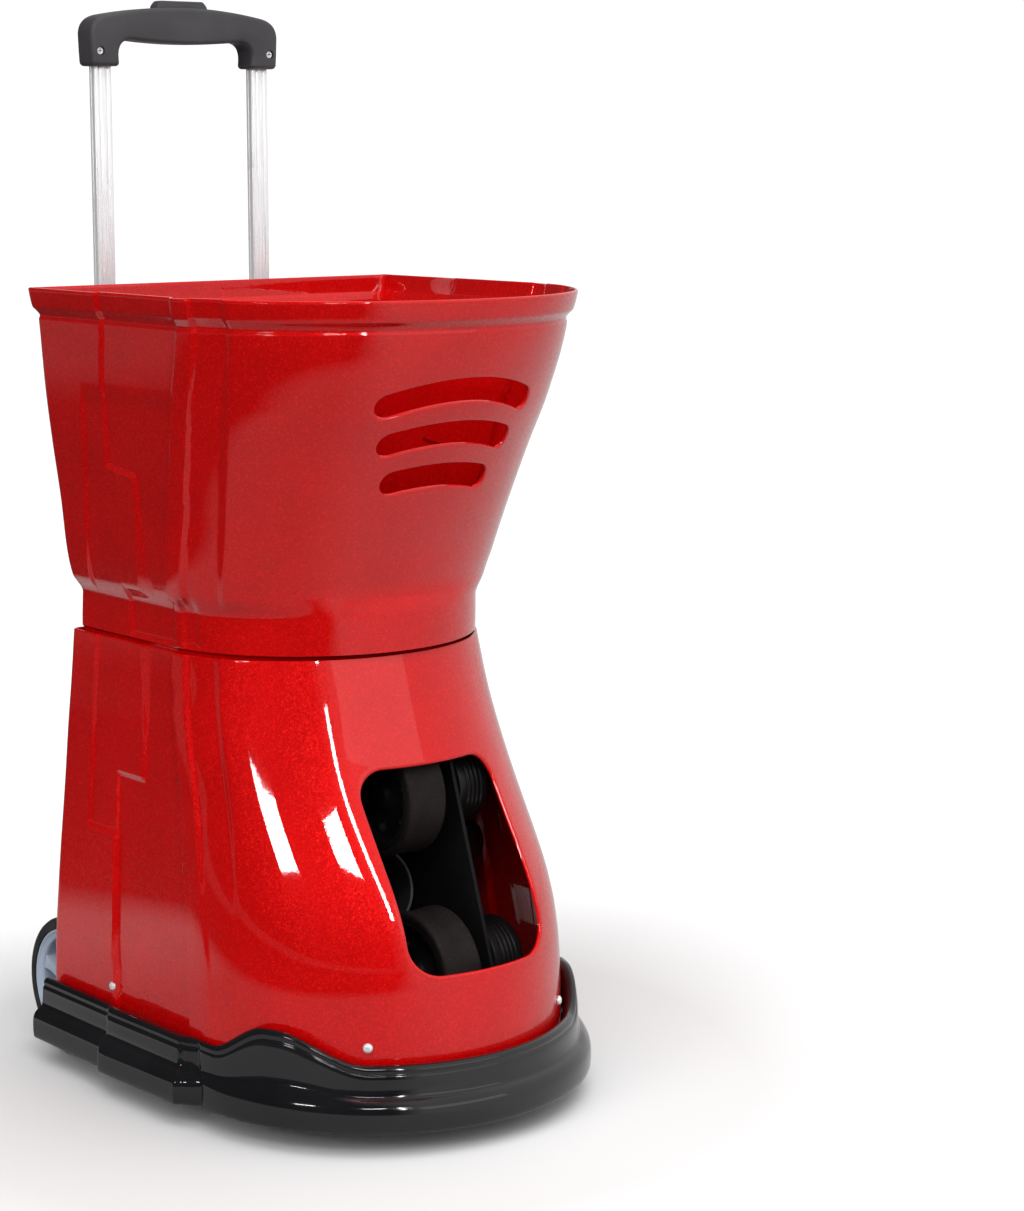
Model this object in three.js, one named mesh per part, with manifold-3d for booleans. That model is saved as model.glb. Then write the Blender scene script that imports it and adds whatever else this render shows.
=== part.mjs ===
// Tennis ball machine: a D-plan floor housing with a ball hopper on top, a steerable throwing head inside,
// a rotary ball feeder, two road wheels and a telescopic handle.
// Millimetres. +Z is up, the balls leave towards -Y, +X is to the right seen from the front.
// The origin is on the floor, at the centre of the machine's bounding box.
import * as THREE from 'three';
import { mergeVertices } from 'three/addons/utils/BufferGeometryUtils.js';
import Module from 'manifold-3d';

const wasm = await Module();
wasm.setup();

// ---------- driving dimensions ----------
const GAP = 0.3; // between pieces that touch
const WALL = 3; // moulded shells
const ROUND = 24; // facets on a turned piece

// The body's plan at a height: straight sides, a flat back and a half-ellipse front.
// z, half width, y where the front ellipse starts, y of the back, y of the front
const section = (z, half, corner, back, front) => ({ z, half, corner, back, front });
const HOUSING = [
  section(66, 183, -33, 220.2, -231),
  section(110, 183, -31, 218.3, -230),
  section(153, 181, -26, 216.4, -229),
  section(200, 178, -18, 214.4, -218),
  section(250, 174, -6, 212.2, -188),
  section(290, 171, 6, 210.5, -162),
  section(324, 169, 18, 209.1, -143),
  section(370, 165, 32, 207.1, -124),
  section(420, 162, 40, 204.9, -108),
];
const HOPPER = [
  section(406, 155, 44, 196, -97),
  section(421.5, 155.5, 44, 196, -101),
  section(424, 158, 45, 196, -114),
  section(456, 158, 45, 194, -115),
  section(475, 170, 38, 192, -112),
  section(500, 176, 30, 191, -119),
  section(550, 182, 15, 190, -141),
  section(600, 189, 0, 190, -165),
  section(650, 195, -15, 190, -193),
  section(712, 200, -31, 190, -217),
  section(721, 200.8, -31.3, 190.5, -218.5),
  section(727, 204.5, -33, 194, -224.5),
  section(744, 208, -35, 195, -229),
];
const BACK_CORNER = 8; // size of the body's rear corners
const HOUSING_FOOT = HOUSING[0];
const HOUSING_BACK_SLOPE = 0.0431; // how far the flat back leans forward per mm of height

const SKIRT_BACK = 214;
const SKIRT_FRONT = -260;
const SKIRT_HALF = 199; // half width of its front ellipse
const SKIRT_CORNER = -62;
const SKIRT_SIDE = [[210, 99], [218, 74], [214, -39]]; // x, y of the raised side pad's corners
const HUMP = 27; // height of the fender humps on the skirt's top edge

const PLATE = { z0: 24, z1: 30 };
const ROAD_WHEEL = { radius: 68, x0: 150, x1: 178, y: 206, bore: 5.4 };
const AXLE_RADIUS = 5;
const BOX_CENTRE_Y = (SKIRT_FRONT + ROAD_WHEEL.y + ROAD_WHEEL.radius) / 2;
const FOOT = { x: 105, y: -125, radius: 15 };

const LAUNCH = { half: 76, z0: 152.5, z1: 324, corner: 27 };
const SLOTS = [{ z: 664, width: 150 }, { z: 625, width: 124 }, { z: 586, width: 96 }];
const SLOT_HEIGHT = 21.5;
const SLOT_ARC = 240; // radius of the slots' centre lines

const THROW = { radius: 58, gap: 49.4, half: 21 }; // throwing wheels
const THROW_OFFSET = THROW.radius + THROW.gap / 2;
const HEAD = { y: -107.5, z: 207, tilt: -18.3 * Math.PI / 180 }; // middle of the nip, and its elevation
const PIVOT = { y: 60, z: 28 }; // tilt axis, in the head's own frame
const HEAD_PLATE = { x: 46, thickness: 4 };
const MOTOR = { radius: 38, length: 40 };
const GUIDE = { bore: 36.5, radius: 39, y0: 46, y1: 80 };
const YOKE = { half: 103, wall: 5, z0: 44.6, top: 236, depth: 52 };
const TRUNNION_RADIUS = 8;

const FEED = { y: 40, radius: 105, pitch: 62, pocket: 38, z0: 444, edge: 18 };
const PAN = { z0: 438, z1: 442 };
const CHUTE = { bore: 36, radius: 38.5, bend: 90, exitY: -4, exitZ: 188, top: 436 };

const HANDLE = { x: 90, y: 246, tubeTop: 690, tubeFoot: 60, rodTop: 960, rodFoot: 600 };
const TUBE = { width: 24, depth: 16 };
const ROD = { width: 19, depth: 11 };
const GRIP = { half: 107, inner: 76, z0: 947, depth: 28 };

const PANEL = { z: 290, face: 13.6, back: 3.6 }; // rear panel, in the frame of the leaning back wall

// ---------- materials ----------
const material = (color, roughness, metalness) => new THREE.MeshStandardMaterial({ color, roughness, metalness });
const redPaint = () => material(0xb3121b, 0.2, 0.3);
const blackGloss = () => material(0x101012, 0.18, 0);
const blackPlastic = () => material(0x1a1a1c, 0.55, 0);
const greyGrip = () => material(0x3f3d42, 0.5, 0);
const rubber = () => material(0x1c1a1b, 0.85, 0);
const hubPlastic = () => material(0x9aa7b8, 0.45, 0);
const brushed = () => material(0xc4c8cc, 0.3, 0.9);
const steel = () => material(0x8d9196, 0.4, 0.85);
const darkSteel = () => material(0x2a2b2e, 0.45, 0.6);
const board = () => material(0x1c5a34, 0.5, 0);
const clear = () => material(0x20303a, 0.1, 0);
const keyPlastic = (color) => () => material(color, 0.4, 0);

// ---------- geometry helpers ----------
const mm = (x, y, z = 0) => new THREE.Vector3(x, y, z);

// Welds a geometry's vertices, drops its empty triangles and turns its faces outwards.
function closed(geometry) {
  const bare = geometry.clone();
  for (const name of ['normal', 'uv']) bare.deleteAttribute(name);
  const welded = mergeVertices(bare, 1e-4);
  const p = welded.attributes.position;
  const corners = [];
  let volume = 0;
  for (let i = 0; i < welded.index.count; i += 3) {
    const [a, b, c] = [0, 1, 2].map((k) => welded.index.getX(i + k));
    if (a === b || b === c || c === a) continue;
    corners.push([a, b, c]);
    const [u, v, w] = [a, b, c].map((k) => new THREE.Vector3().fromBufferAttribute(p, k));
    volume += u.dot(v.cross(w));
  }
  if (volume < 0) corners.forEach((triangle) => triangle.reverse());
  welded.setIndex(corners.flat());
  return welded;
}

function solid(geometry) {
  const g = closed(geometry);
  const vertProperties = Float32Array.from(g.attributes.position.array);
  return new wasm.Manifold(new wasm.Mesh({ numProp: 3, vertProperties, triVerts: Uint32Array.from(g.index.array) }));
}

function geometryOf(manifold) {
  const mesh = manifold.getMesh();
  const g = new THREE.BufferGeometry();
  g.setAttribute('position', new THREE.BufferAttribute(Float32Array.from(mesh.vertProperties), 3));
  g.setIndex(Array.from(mesh.triVerts));
  return g;
}

const cut = (base, ...tools) => geometryOf(tools.reduce((left, tool) => left.subtract(solid(tool)), solid(base)));
const join = (...parts) => geometryOf(parts.map(solid).reduce((whole, part) => whole.add(part)));

function slab(x0, x1, y0, y1, z0, z1) {
  return new THREE.BoxGeometry(x1 - x0, y1 - y0, z1 - z0).translate((x0 + x1) / 2, (y0 + y1) / 2, (z0 + z1) / 2);
}

// A prism: the shape's (u, v) become (X, Y), (Y, Z) or (X, Z), and it runs from `from` to `to` along the third.
const BASES = {
  z: [mm(1, 0, 0), mm(0, 1, 0), mm(0, 0, 1)],
  x: [mm(0, 1, 0), mm(0, 0, 1), mm(1, 0, 0)],
  y: [mm(1, 0, 0), mm(0, 0, 1), mm(0, -1, 0)],
};
function prism(axis, shape, from, to, curveSegments = 6) {
  const g = new THREE.ExtrudeGeometry(shape, { depth: to - from, bevelEnabled: false, curveSegments });
  const start = axis === 'y' ? mm(0, to, 0) : BASES[axis][2].clone().multiplyScalar(from);
  return g.applyMatrix4(new THREE.Matrix4().makeBasis(...BASES[axis]).setPosition(start));
}

const polygon = (points) => new THREE.Shape(points.map(([u, v]) => new THREE.Vector2(u, v)));

function roundedRect(u0, u1, v0, v1, r) {
  const s = new THREE.Shape();
  s.absarc(u1 - r, v0 + r, r, -Math.PI / 2, 0);
  s.absarc(u1 - r, v1 - r, r, 0, Math.PI / 2);
  s.absarc(u0 + r, v1 - r, r, Math.PI / 2, Math.PI);
  s.absarc(u0 + r, v0 + r, r, Math.PI, Math.PI * 1.5);
  return s;
}

// A turned piece. Its profile is a list of [radius, height along the axis].
function turned(axis, profile, segments = ROUND) {
  const g = new THREE.LatheGeometry(profile.map(([r, h]) => new THREE.Vector2(r, h)), segments);
  if (axis === 'z') g.rotateX(Math.PI / 2);
  if (axis === 'x') g.rotateZ(-Math.PI / 2);
  return g;
}
const rod = (axis, radius, from, to, segments) =>
  turned(axis, [[0, from], [radius, from], [radius, to], [0, to]], segments);
const ring = (axis, bore, radius, from, to, segments) =>
  turned(axis, [[bore, from], [radius, from], [radius, to], [bore, to], [bore, from]], segments);

// Skins a closed stack of rings: each ring is a list of points, and the last ring joins the first.
function skin(rings) {
  const n = rings[0].length;
  const positions = rings.flat().flatMap((p) => [p.x, p.y, p.z]);
  const index = [];
  rings.forEach((_, i) => {
    const low = i * n;
    const high = ((i + 1) % rings.length) * n;
    for (let j = 0; j < n; j += 1) {
      const k = (j + 1) % n;
      index.push(low + j, low + k, high + k, low + j, high + k, high + j);
    }
  });
  const g = new THREE.BufferGeometry();
  g.setAttribute('position', new THREE.Float32BufferAttribute(positions, 3));
  g.setIndex(index);
  return g;
}

// ---------- the body's outline ----------
// Points of the +X half, from the back centre side to just before the front centre.
function halfPlan(s, inset) {
  const half = s.half - inset;
  const back = s.back - inset;
  const front = s.front + inset;
  const steps = 8;
  const points = [mm(half - BACK_CORNER, back, s.z), mm(half, back - BACK_CORNER, s.z)];
  for (let i = 0; i < steps; i += 1) {
    const t = (i / steps) * (Math.PI / 2);
    points.push(mm(half * Math.cos(t), s.corner - (s.corner - front) * Math.sin(t), s.z));
  }
  return { points, nose: mm(0, front, s.z) };
}
function mirrored({ points, nose }) {
  const other = points.map((p) => mm(-p.x, p.y, p.z)).reverse();
  return [...points, nose, ...other];
}
const plan = (s, inset = 0) => mirrored(halfPlan(s, inset));

function shell(sections, wall = WALL) {
  const outer = sections.map((s) => plan(s));
  const inner = sections.map((s) => plan(s, wall)).reverse();
  return skin([...outer, ...inner]);
}

// The section of a list at any height, by straight interpolation.
function sectionAt(sections, z) {
  const i = Math.max(1, sections.findIndex((s) => s.z >= z));
  const [a, b] = [sections[i - 1], sections[i]];
  const t = (z - a.z) / (b.z - a.z);
  const mix = (key) => a[key] + (b[key] - a[key]) * t;
  return section(z, mix('half'), mix('corner'), mix('back'), mix('front'));
}
const frontWallY = (sections, x, z) => {
  const s = sectionAt(sections, z);
  return s.corner - (s.corner - s.front) * Math.sqrt(1 - (x / s.half) ** 2);
};
const backWallY = (z) => HOUSING_FOOT.back - HOUSING_BACK_SLOPE * (z - HOUSING_FOOT.z);

// ---------- assembly ----------
const machine = new THREE.Group();
function add(name, geometry, finish, parent = machine) {
  const mesh = new THREE.Mesh(closed(geometry), finish());
  mesh.name = name;
  parent.add(mesh);
}
const SIDES = [['left', -1], ['right', 1]];

// ---------- base ----------
function basePlate() {
  const narrow = ROAD_WHEEL.x0 - 5;
  const wide = SKIRT_HALF + 1;
  const inset = 9; // clear of the skirt's inner wall
  const notch = ROAD_WHEEL.y - ROAD_WHEEL.radius - 5;
  const half = [[narrow, SKIRT_BACK - 4], [narrow, notch], [wide, notch], [wide, -39]];
  const steps = 8;
  for (let i = 0; i < steps; i += 1) {
    const t = (i / steps) * (Math.PI / 2);
    half.push([(SKIRT_HALF - inset) * Math.cos(t), SKIRT_CORNER - (SKIRT_CORNER - SKIRT_FRONT - inset) * Math.sin(t)]);
  }
  const other = half.map(([x, y]) => [-x, y]).reverse();
  add('base_plate', prism('z', polygon([...half, [0, SKIRT_FRONT + inset], ...other]), PLATE.z0, PLATE.z1), darkSteel);
}

const smooth = (x, a, b) => THREE.MathUtils.smoothstep(x, a, b);
const humpAt = (degrees) => HUMP * smooth(degrees, 6, 24) * (1 - smooth(degrees, 27, 52));

// One ring of the skirt. sideInset and frontInset pull it in; rise is how much of the hump it follows.
function skirtRing(z, sideInset, frontInset, rise = 0) {
  const points = [mm(SKIRT_SIDE[0][0] - sideInset, SKIRT_BACK + 20, z)];
  for (const [x, y] of SKIRT_SIDE) points.push(mm(x - sideInset, y, z));
  const steps = 10;
  const half = SKIRT_HALF - (sideInset + frontInset) / 2;
  const front = SKIRT_FRONT + frontInset;
  for (let i = 0; i < steps; i += 1) {
    const degrees = (i / steps) * 90;
    const t = THREE.MathUtils.degToRad(degrees);
    const y = SKIRT_CORNER - (SKIRT_CORNER - front) * Math.sin(t);
    points.push(mm(half * Math.cos(t), y, z + rise * humpAt(degrees)));
  }
  return mirrored({ points, nose: mm(0, front, z) });
}
function baseSkirt() {
  const outer = [
    skirtRing(22, 3, 3), skirtRing(30, 0, 0), skirtRing(46, 0, 0), skirtRing(50, 4, 3),
    skirtRing(70, 14, 8, 0.9), skirtRing(76, 18, 11, 1),
  ];
  const inner = [
    skirtRing(76, 22, 15, 1), skirtRing(68, 20, 14, 0.9), skirtRing(46, 8, 8), skirtRing(22, 7, 7),
  ];
  const behind = slab(-260, 260, SKIRT_BACK, SKIRT_BACK + 40, 0, 200);
  add('base_skirt', cut(skin([...outer, ...inner]), behind), blackGloss);
}

function frontFeet() {
  for (const [side, sign] of SIDES) {
    const profile = [[0, 0], [FOOT.radius - 2, 0], [FOOT.radius, 2], [FOOT.radius - 3, PLATE.z0 - GAP], [0, PLATE.z0 - GAP]];
    add(`front_foot_${side}`, turned('z', profile, 20).translate(sign * FOOT.x, FOOT.y, 0), rubber);
  }
}

// ---------- shells ----------
// Fixing screws through the housing wall: x, z, and whether on the front or the side.
const SCREWS = [
  { name: 'front_left', x: -110, z: 92 }, { name: 'front_right', x: 110, z: 92 },
  { name: 'side_left', y: 112, z: 92, sign: -1 }, { name: 'side_right', y: 112, z: 92, sign: 1 },
];
const SCREW = { head: 4.5, shank: 2, length: 9 };
function screwPlace(s) {
  if (s.sign) return { at: mm(s.sign * sectionAt(HOUSING, s.z).half, s.y, s.z), out: mm(s.sign, 0, 0) };
  const foot = sectionAt(HOUSING, s.z);
  const y = frontWallY(HOUSING, s.x, s.z);
  const out = mm(s.x / foot.half ** 2, (y - foot.corner) / (foot.corner - foot.front) ** 2, 0).normalize();
  return { at: mm(s.x, y, s.z), out };
}
function along(geometry, { at, out }) {
  const turn = new THREE.Quaternion().setFromUnitVectors(mm(0, 0, 1), out);
  return geometry.applyQuaternion(turn).translate(at.x, at.y, at.z);
}
function housingScrews() {
  const { head, shank, length } = SCREW;
  const profile = [[0, -length], [shank, -length], [shank, 0.6], [head, 0.6], [head, 1.8], [head * 0.6, 3.4], [0, 3.8]];
  for (const s of SCREWS) add(`housing_screw_${s.name}`, along(turned('z', profile, 12), screwPlace(s)), brushed);
}

const PANEL_HOLE = { half: 66, z0: -96, z1: 96 }; // opening behind the rear cover
function lowerHousing() {
  const launch = prism('y', roundedRect(-LAUNCH.half, LAUNCH.half, LAUNCH.z0, LAUNCH.z1, LAUNCH.corner), -300, -60);
  const wheelTop = 2 * ROAD_WHEEL.radius + 5;
  const inside = HOUSING_FOOT.half - WALL;
  const wells = SIDES.map(([, sign]) => {
    const [a, b] = [sign * (ROAD_WHEEL.x0 - 5), sign * inside].sort((p, q) => p - q);
    return slab(a, b, 180, 240, 40, wheelTop);
  });
  const service = slab(-PANEL_HOLE.half, PANEL_HOLE.half, 180, 240, PANEL.z + PANEL_HOLE.z0, PANEL.z + PANEL_HOLE.z1);
  const holes = SCREWS.map((s) => along(rod('z', SCREW.shank + GAP, -20, 20, 12), screwPlace(s)));
  add('lower_housing', cut(shell(HOUSING), launch, service, ...wells, ...holes), redPaint);
}

function slotShape({ z, width }) {
  const end = Math.asin(width / 2 / SLOT_ARC);
  const [low, high] = [SLOT_ARC - SLOT_HEIGHT / 2, SLOT_ARC + SLOT_HEIGHT / 2];
  const cz = z - SLOT_ARC;
  const [right, left] = [Math.PI / 2 - end, Math.PI / 2 + end];
  const s = new THREE.Shape();
  s.absarc(0, cz, high, right, left, false);
  s.absarc(SLOT_ARC * Math.cos(left), cz + SLOT_ARC * Math.sin(left), SLOT_HEIGHT / 2, left, left + Math.PI, false);
  s.absarc(0, cz, low, left, right, true);
  s.absarc(SLOT_ARC * Math.cos(right), cz + SLOT_ARC * Math.sin(right), SLOT_HEIGHT / 2, right + Math.PI, right, false);
  return s;
}
function hopper() {
  const slots = SLOTS.map((slot) => prism('y', slotShape(slot), -260, -60, 5));
  add('hopper', cut(shell(HOPPER), ...slots), redPaint);
}

// Distance from the feeder's axis to an outline, in one direction.
function reach(outline, angle) {
  const [dx, dy] = [Math.cos(angle), Math.sin(angle)];
  let far = 0;
  outline.forEach((a, i) => {
    const b = outline[(i + 1) % outline.length];
    const [ex, ey] = [b.x - a.x, b.y - a.y];
    const [rx, ry] = [a.x, a.y - FEED.y];
    const det = dx * ey - dy * ex;
    const t = (rx * dy - ry * dx) / det;
    if (det !== 0 && t >= 0 && t <= 1) far = Math.max(far, (rx * ey - ry * ex) / det);
  });
  return far;
}
// A moulded funnel from the hopper's wall down to the round well of the feeder.
function hopperFunnel() {
  const wall = 2.5;
  const top = 500;
  const count = 36;
  const hoop = (z, radiusAt) => Array.from({ length: count }, (_, i) => {
    const angle = (i / count) * 2 * Math.PI;
    return mm(radiusAt(angle) * Math.cos(angle), FEED.y + radiusAt(angle) * Math.sin(angle), z);
  });
  const dish = (z, inset) => {
    const outline = plan(sectionAt(HOPPER, top), WALL + inset);
    return hoop(z, (angle) => reach(outline, angle));
  };
  const bore = FEED.radius + 3;
  const rings = [
    hoop(PAN.z1 + GAP, () => bore + wall), hoop(470, () => bore + wall), dish(top - 3, 2.5),
    dish(top, 2), hoop(473, () => bore), hoop(PAN.z1 + GAP, () => bore),
  ];
  add('hopper_funnel', skin(rings), blackPlastic);
}

// ---------- feeder ----------
function feedPan() {
  const neck = plan(sectionAt(HOPPER, PAN.z0), WALL + 1).map((p) => [p.x, p.y]);
  const outlet = rod('z', CHUTE.bore, 400, 460).translate(0, FEED.y + FEED.pitch, 0);
  const shaft = rod('z', 6, 400, 460, 16).translate(0, FEED.y, 0);
  add('feed_pan', cut(prism('z', polygon(neck), PAN.z0, PAN.z1), outlet, shaft), blackPlastic);
}
const FEED_SHAFT = { radius: 4, top: 456 };
function feedMotor() {
  const top = PAN.z0 - GAP;
  const { radius, top: tip } = FEED_SHAFT;
  const profile = [[0, 384], [16, 384], [19, 388], [19, top], [radius, top], [radius, tip], [0, tip]];
  add('feed_motor', turned('z', profile, 20).translate(0, FEED.y, 0), steel);
}
function feedDisc() {
  const z = FEED.z0;
  const profile = [[0, z], [FEED.radius, z], [FEED.radius, z + FEED.edge], [34, z + 26], [24, z + 42], [10, z + 48], [0, z + 48]];
  const pockets = [45, 135, 225, 315].map((degrees) => {
    const t = THREE.MathUtils.degToRad(degrees);
    return rod('z', FEED.pocket, z - 10, z + 60).translate(FEED.pitch * Math.cos(t), FEED.pitch * Math.sin(t), 0);
  });
  const socket = rod('z', FEED_SHAFT.radius + 0.4, z - 5, FEED_SHAFT.top + 1, 16);
  add('feed_disc', cut(turned('z', profile, 36), ...pockets, socket).translate(0, FEED.y, 0), hubPlastic);
}
function ballChute() {
  const y = FEED.y + FEED.pitch;
  const { bend, exitY, exitZ, top } = CHUTE;
  const stops = [{ y, z: top, lean: 0 }];
  const steps = 6;
  for (let i = 0; i <= steps; i += 1) {
    const lean = (i / steps) * (Math.PI / 2);
    stops.push({ y: y - bend + bend * Math.cos(lean), z: exitZ + bend - bend * Math.sin(lean), lean });
  }
  stops.push({ y: exitY, z: exitZ, lean: Math.PI / 2 });
  const hoop = (radius) => (stop) => Array.from({ length: 18 }, (_, i) => {
    const t = (i / 18) * 2 * Math.PI;
    const across = radius * Math.sin(t);
    return mm(radius * Math.cos(t), stop.y + across * Math.cos(stop.lean), stop.z - across * Math.sin(stop.lean));
  });
  add('ball_chute', skin([...stops.map(hoop(CHUTE.radius)), ...stops.map(hoop(CHUTE.bore)).reverse()]), blackPlastic);
}

// ---------- throwing head ----------
const head = new THREE.Group();
head.position.set(0, HEAD.y, HEAD.z);
head.rotation.x = HEAD.tilt;
machine.add(head);
// The tilt axis in the machine's frame.
const tiltAxis = mm(0, PIVOT.y, PIVOT.z).applyAxisAngle(mm(1, 0, 0), HEAD.tilt).add(mm(0, HEAD.y, HEAD.z));

function headPlates() {
  const { x, thickness } = HEAD_PLATE;
  const right = polygon([[-37, -104], [-24, -118], [16, -118], [76, -50], [76, 58], [16, 118], [-24, 118], [-37, 104]]);
  const bores = [THROW_OFFSET, -THROW_OFFSET].map((z) => rod('x', 8, 0, 100, 16).translate(0, 0, z));
  add('head_plate_right', cut(prism('x', right, x, x + thickness), ...bores), darkSteel, head);
  const left = polygon([[30, -56], [76, -56], [76, 56], [30, 56]]);
  add('head_plate_left', prism('x', left, -x - thickness, -x), darkSteel, head);
  const inner = x - GAP;
  for (const [name, sign] of [['upper', 1], ['lower', -1]]) {
    const z = [sign * (GUIDE.radius + 0.4), sign * (GUIDE.radius + 12)].sort((a, b) => a - b);
    add(`head_crossbar_${name}`, slab(-inner, inner, 60, 72, ...z), steel, head);
  }
  for (const [side, sign] of SIDES) {
    const span = [sign * (x + thickness + GAP), sign * YOKE.half].sort((a, b) => a - b);
    add(`trunnion_${side}`, rod('x', TRUNNION_RADIUS, ...span, 20).translate(0, PIVOT.y, PIVOT.z), steel, head);
  }
}
function ballGuide() {
  const { bore, radius, y0, y1 } = GUIDE;
  const profile = [[bore, -y1], [radius, -y1], [radius, -y0], [bore, -y0], [bore, -y1]];
  add('ball_guide', turned('y', profile).rotateZ(Math.PI), blackPlastic, head);
}
function throwWheels() {
  const { radius, half } = THROW;
  const hubRadius = radius - 8;
  const end = HEAD_PLATE.x + HEAD_PLATE.thickness;
  const web = [[0, -14], [9, -14], [12, -10], [20, -4], [44, -4], [44, -half + 1], [hubRadius, -half + 1]];
  const boss = [[hubRadius, half - 1], [44, half - 1], [44, 4], [20, 4], [20, 43], [6, 43], [6, end], [0, end]];
  const treadBore = hubRadius + GAP;
  const tread = [
    [treadBore, -half], [radius - 1.5, -half], [radius, -half + 1.5], [radius, half - 1.5], [radius - 1.5, half],
    [treadBore, half], [treadBore, -half],
  ];
  for (const [name, sign] of [['upper', 1], ['lower', -1]]) {
    const place = (g) => g.translate(0, 0, sign * THROW_OFFSET);
    add(`${name}_throw_hub`, place(turned('x', [...web, ...boss], 28)), darkSteel, head);
    add(`${name}_throw_tread`, place(turned('x', tread, 28)), rubber, head);
    const back = end + GAP;
    const motor = [[0, back], [MOTOR.radius, back], [MOTOR.radius, back + 34], [30, back + MOTOR.length], [0, back + MOTOR.length]];
    add(`${name}_motor`, place(turned('x', motor)), blackPlastic, head);
  }
}
function yoke() {
  const { half, wall, z0, top, depth } = YOKE;
  const u = polygon([
    [-half, z0], [half, z0], [half, top], [half - wall, top], [half - wall, z0 + wall],
    [-half + wall, z0 + wall], [-half + wall, top], [-half, top],
  ]);
  const y = tiltAxis.y;
  const bores = rod('x', TRUNNION_RADIUS + 0.4, -200, 200, 20).translate(0, y, tiltAxis.z);
  const spigot = rod('z', 6.4, 0, 80, 16).translate(0, y, 0);
  add('yoke', cut(prism('y', u, y - depth / 2, y + depth / 2), bores, spigot), darkSteel);
}
function steeringMotors() {
  const z = PLATE.z1 + GAP;
  const top = YOKE.z0 - GAP;
  const yaw = [[0, z], [34, z], [34, top - 2], [32, top], [6, top], [6, top + 5], [0, top + 5]];
  add('yaw_motor', turned('z', yaw).translate(0, tiltAxis.y, 0), blackPlastic);
  const x = YOKE.half + GAP;
  const pitch = [[0, x], [20, x], [20, x + 24], [16, x + 27], [0, x + 27]];
  add('pitch_motor', turned('x', pitch).translate(0, tiltAxis.y, tiltAxis.z), blackPlastic);
}

// ---------- road wheels ----------
function roadWheels() {
  const { radius, x0, x1, y, bore } = ROAD_WHEEL;
  const rim = radius - 11;
  const tyre = [
    [rim + GAP, x0], [radius - 3, x0], [radius, x0 + 5], [radius, x1 - 5], [radius - 3, x1], [rim + GAP, x1], [rim + GAP, x0],
  ];
  const outer = ring('x', rim - 7, rim, x0 + 2, x1 - 2, 32);
  const boss = ring('x', bore, 15, x0 + 1, x1 - 1, 20);
  const spokes = Array.from({ length: 5 }, (_, i) =>
    slab(x0 + 5, x1 - 5, -6, 6, 12, rim - 4).rotateX((i / 5) * 2 * Math.PI));
  const place = (g, sign) => g.scale(sign, 1, 1).translate(0, y, radius);
  for (const [side, sign] of SIDES) {
    add(`road_tyre_${side}`, place(turned('x', tyre, 32), sign), rubber);
    add(`road_hub_${side}`, place(join(outer, boss, ...spokes), sign), hubPlastic);
    const ear = roundedRect(y - 18, y + 8, PLATE.z1 + GAP, radius + 14, 6);
    const span = [sign * 124, sign * 130].sort((a, b) => a - b);
    const hole = rod('x', bore, -200, 200, 20).translate(0, y, radius);
    add(`axle_bracket_${side}`, cut(prism('x', ear, ...span), hole), steel);
  }
  add('road_axle', rod('x', AXLE_RADIUS, -x1 - 1, x1 + 1, 20).translate(0, y, radius), steel);
}

// ---------- handle ----------
function box(cx, cy, width, depth, z0, z1) {
  return slab(cx - width / 2, cx + width / 2, cy - depth / 2, cy + depth / 2, z0, z1);
}
function handleTubes() {
  const { x, y, tubeTop, tubeFoot } = HANDLE;
  for (const [side, sign] of SIDES) {
    const bore = box(sign * x, y, ROD.width + 1, ROD.depth + 1, 0, 800);
    add(`handle_tube_${side}`, cut(box(sign * x, y, TUBE.width, TUBE.depth, tubeFoot, tubeTop), bore), brushed);
  }
  const face = y - TUBE.depth / 2 - GAP;
  const half = x + TUBE.width / 2;
  add('handle_bridge_lower', slab(-half, half, backWallY(150) + GAP, face, 150, 172), darkSteel);
  add('handle_bridge_upper', slab(-half, half, sectionAt(HOPPER, 640).back + GAP, face, 640, 664), darkSteel);
}
const BUTTON_SLOT = { half: 30, floor: 996.5 };
function handleGrip() {
  const { x, y, rodTop, rodFoot } = HANDLE;
  const { half, inner, z0, depth } = GRIP;
  const s = new THREE.Shape();
  s.moveTo(half, z0);
  s.lineTo(half, z0 + 30);
  s.quadraticCurveTo(half - 1, z0 + 44, half - 18, z0 + 48);
  s.quadraticCurveTo(0, z0 + 66, -half + 18, z0 + 48);
  s.quadraticCurveTo(-half + 1, z0 + 44, -half, z0 + 30);
  s.lineTo(-half, z0);
  s.lineTo(-inner, z0);
  s.lineTo(-inner, z0 + 10);
  s.quadraticCurveTo(-inner, z0 + 25, -inner + 15, z0 + 25);
  s.quadraticCurveTo(0, z0 + 19, inner - 15, z0 + 25);
  s.quadraticCurveTo(inner, z0 + 25, inner, z0 + 10);
  s.lineTo(inner, z0);
  const sockets = SIDES.map(([, sign]) => box(sign * x, y, ROD.width + 0.8, ROD.depth + 0.8, 900, rodTop + GAP));
  const slot = box(0, y, 2 * BUTTON_SLOT.half, 16, BUTTON_SLOT.floor, 1030);
  add('handle_grip', cut(prism('y', s, y - depth / 2, y + depth / 2, 8), ...sockets, slot), greyGrip);
  for (const [side, sign] of SIDES) {
    add(`handle_rod_${side}`, box(sign * x, y, ROD.width, ROD.depth, rodFoot, rodTop), brushed);
  }
  const push = polygon([[-29, 1001], [29, 1001], [29, 1004.5], [24, 1010], [-24, 1010], [-29, 1004.5]]);
  add('release_button', prism('y', push, y - 7, y + 7, 3), blackPlastic);
}

// ---------- rear panel ----------
// Local frame: y = 0 is the outer face of the housing's flat back, +y points away from it.
const rear = new THREE.Group();
rear.position.set(0, backWallY(PANEL.z), PANEL.z);
rear.rotation.x = Math.atan(HOUSING_BACK_SLOPE);
machine.add(rear);

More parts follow.
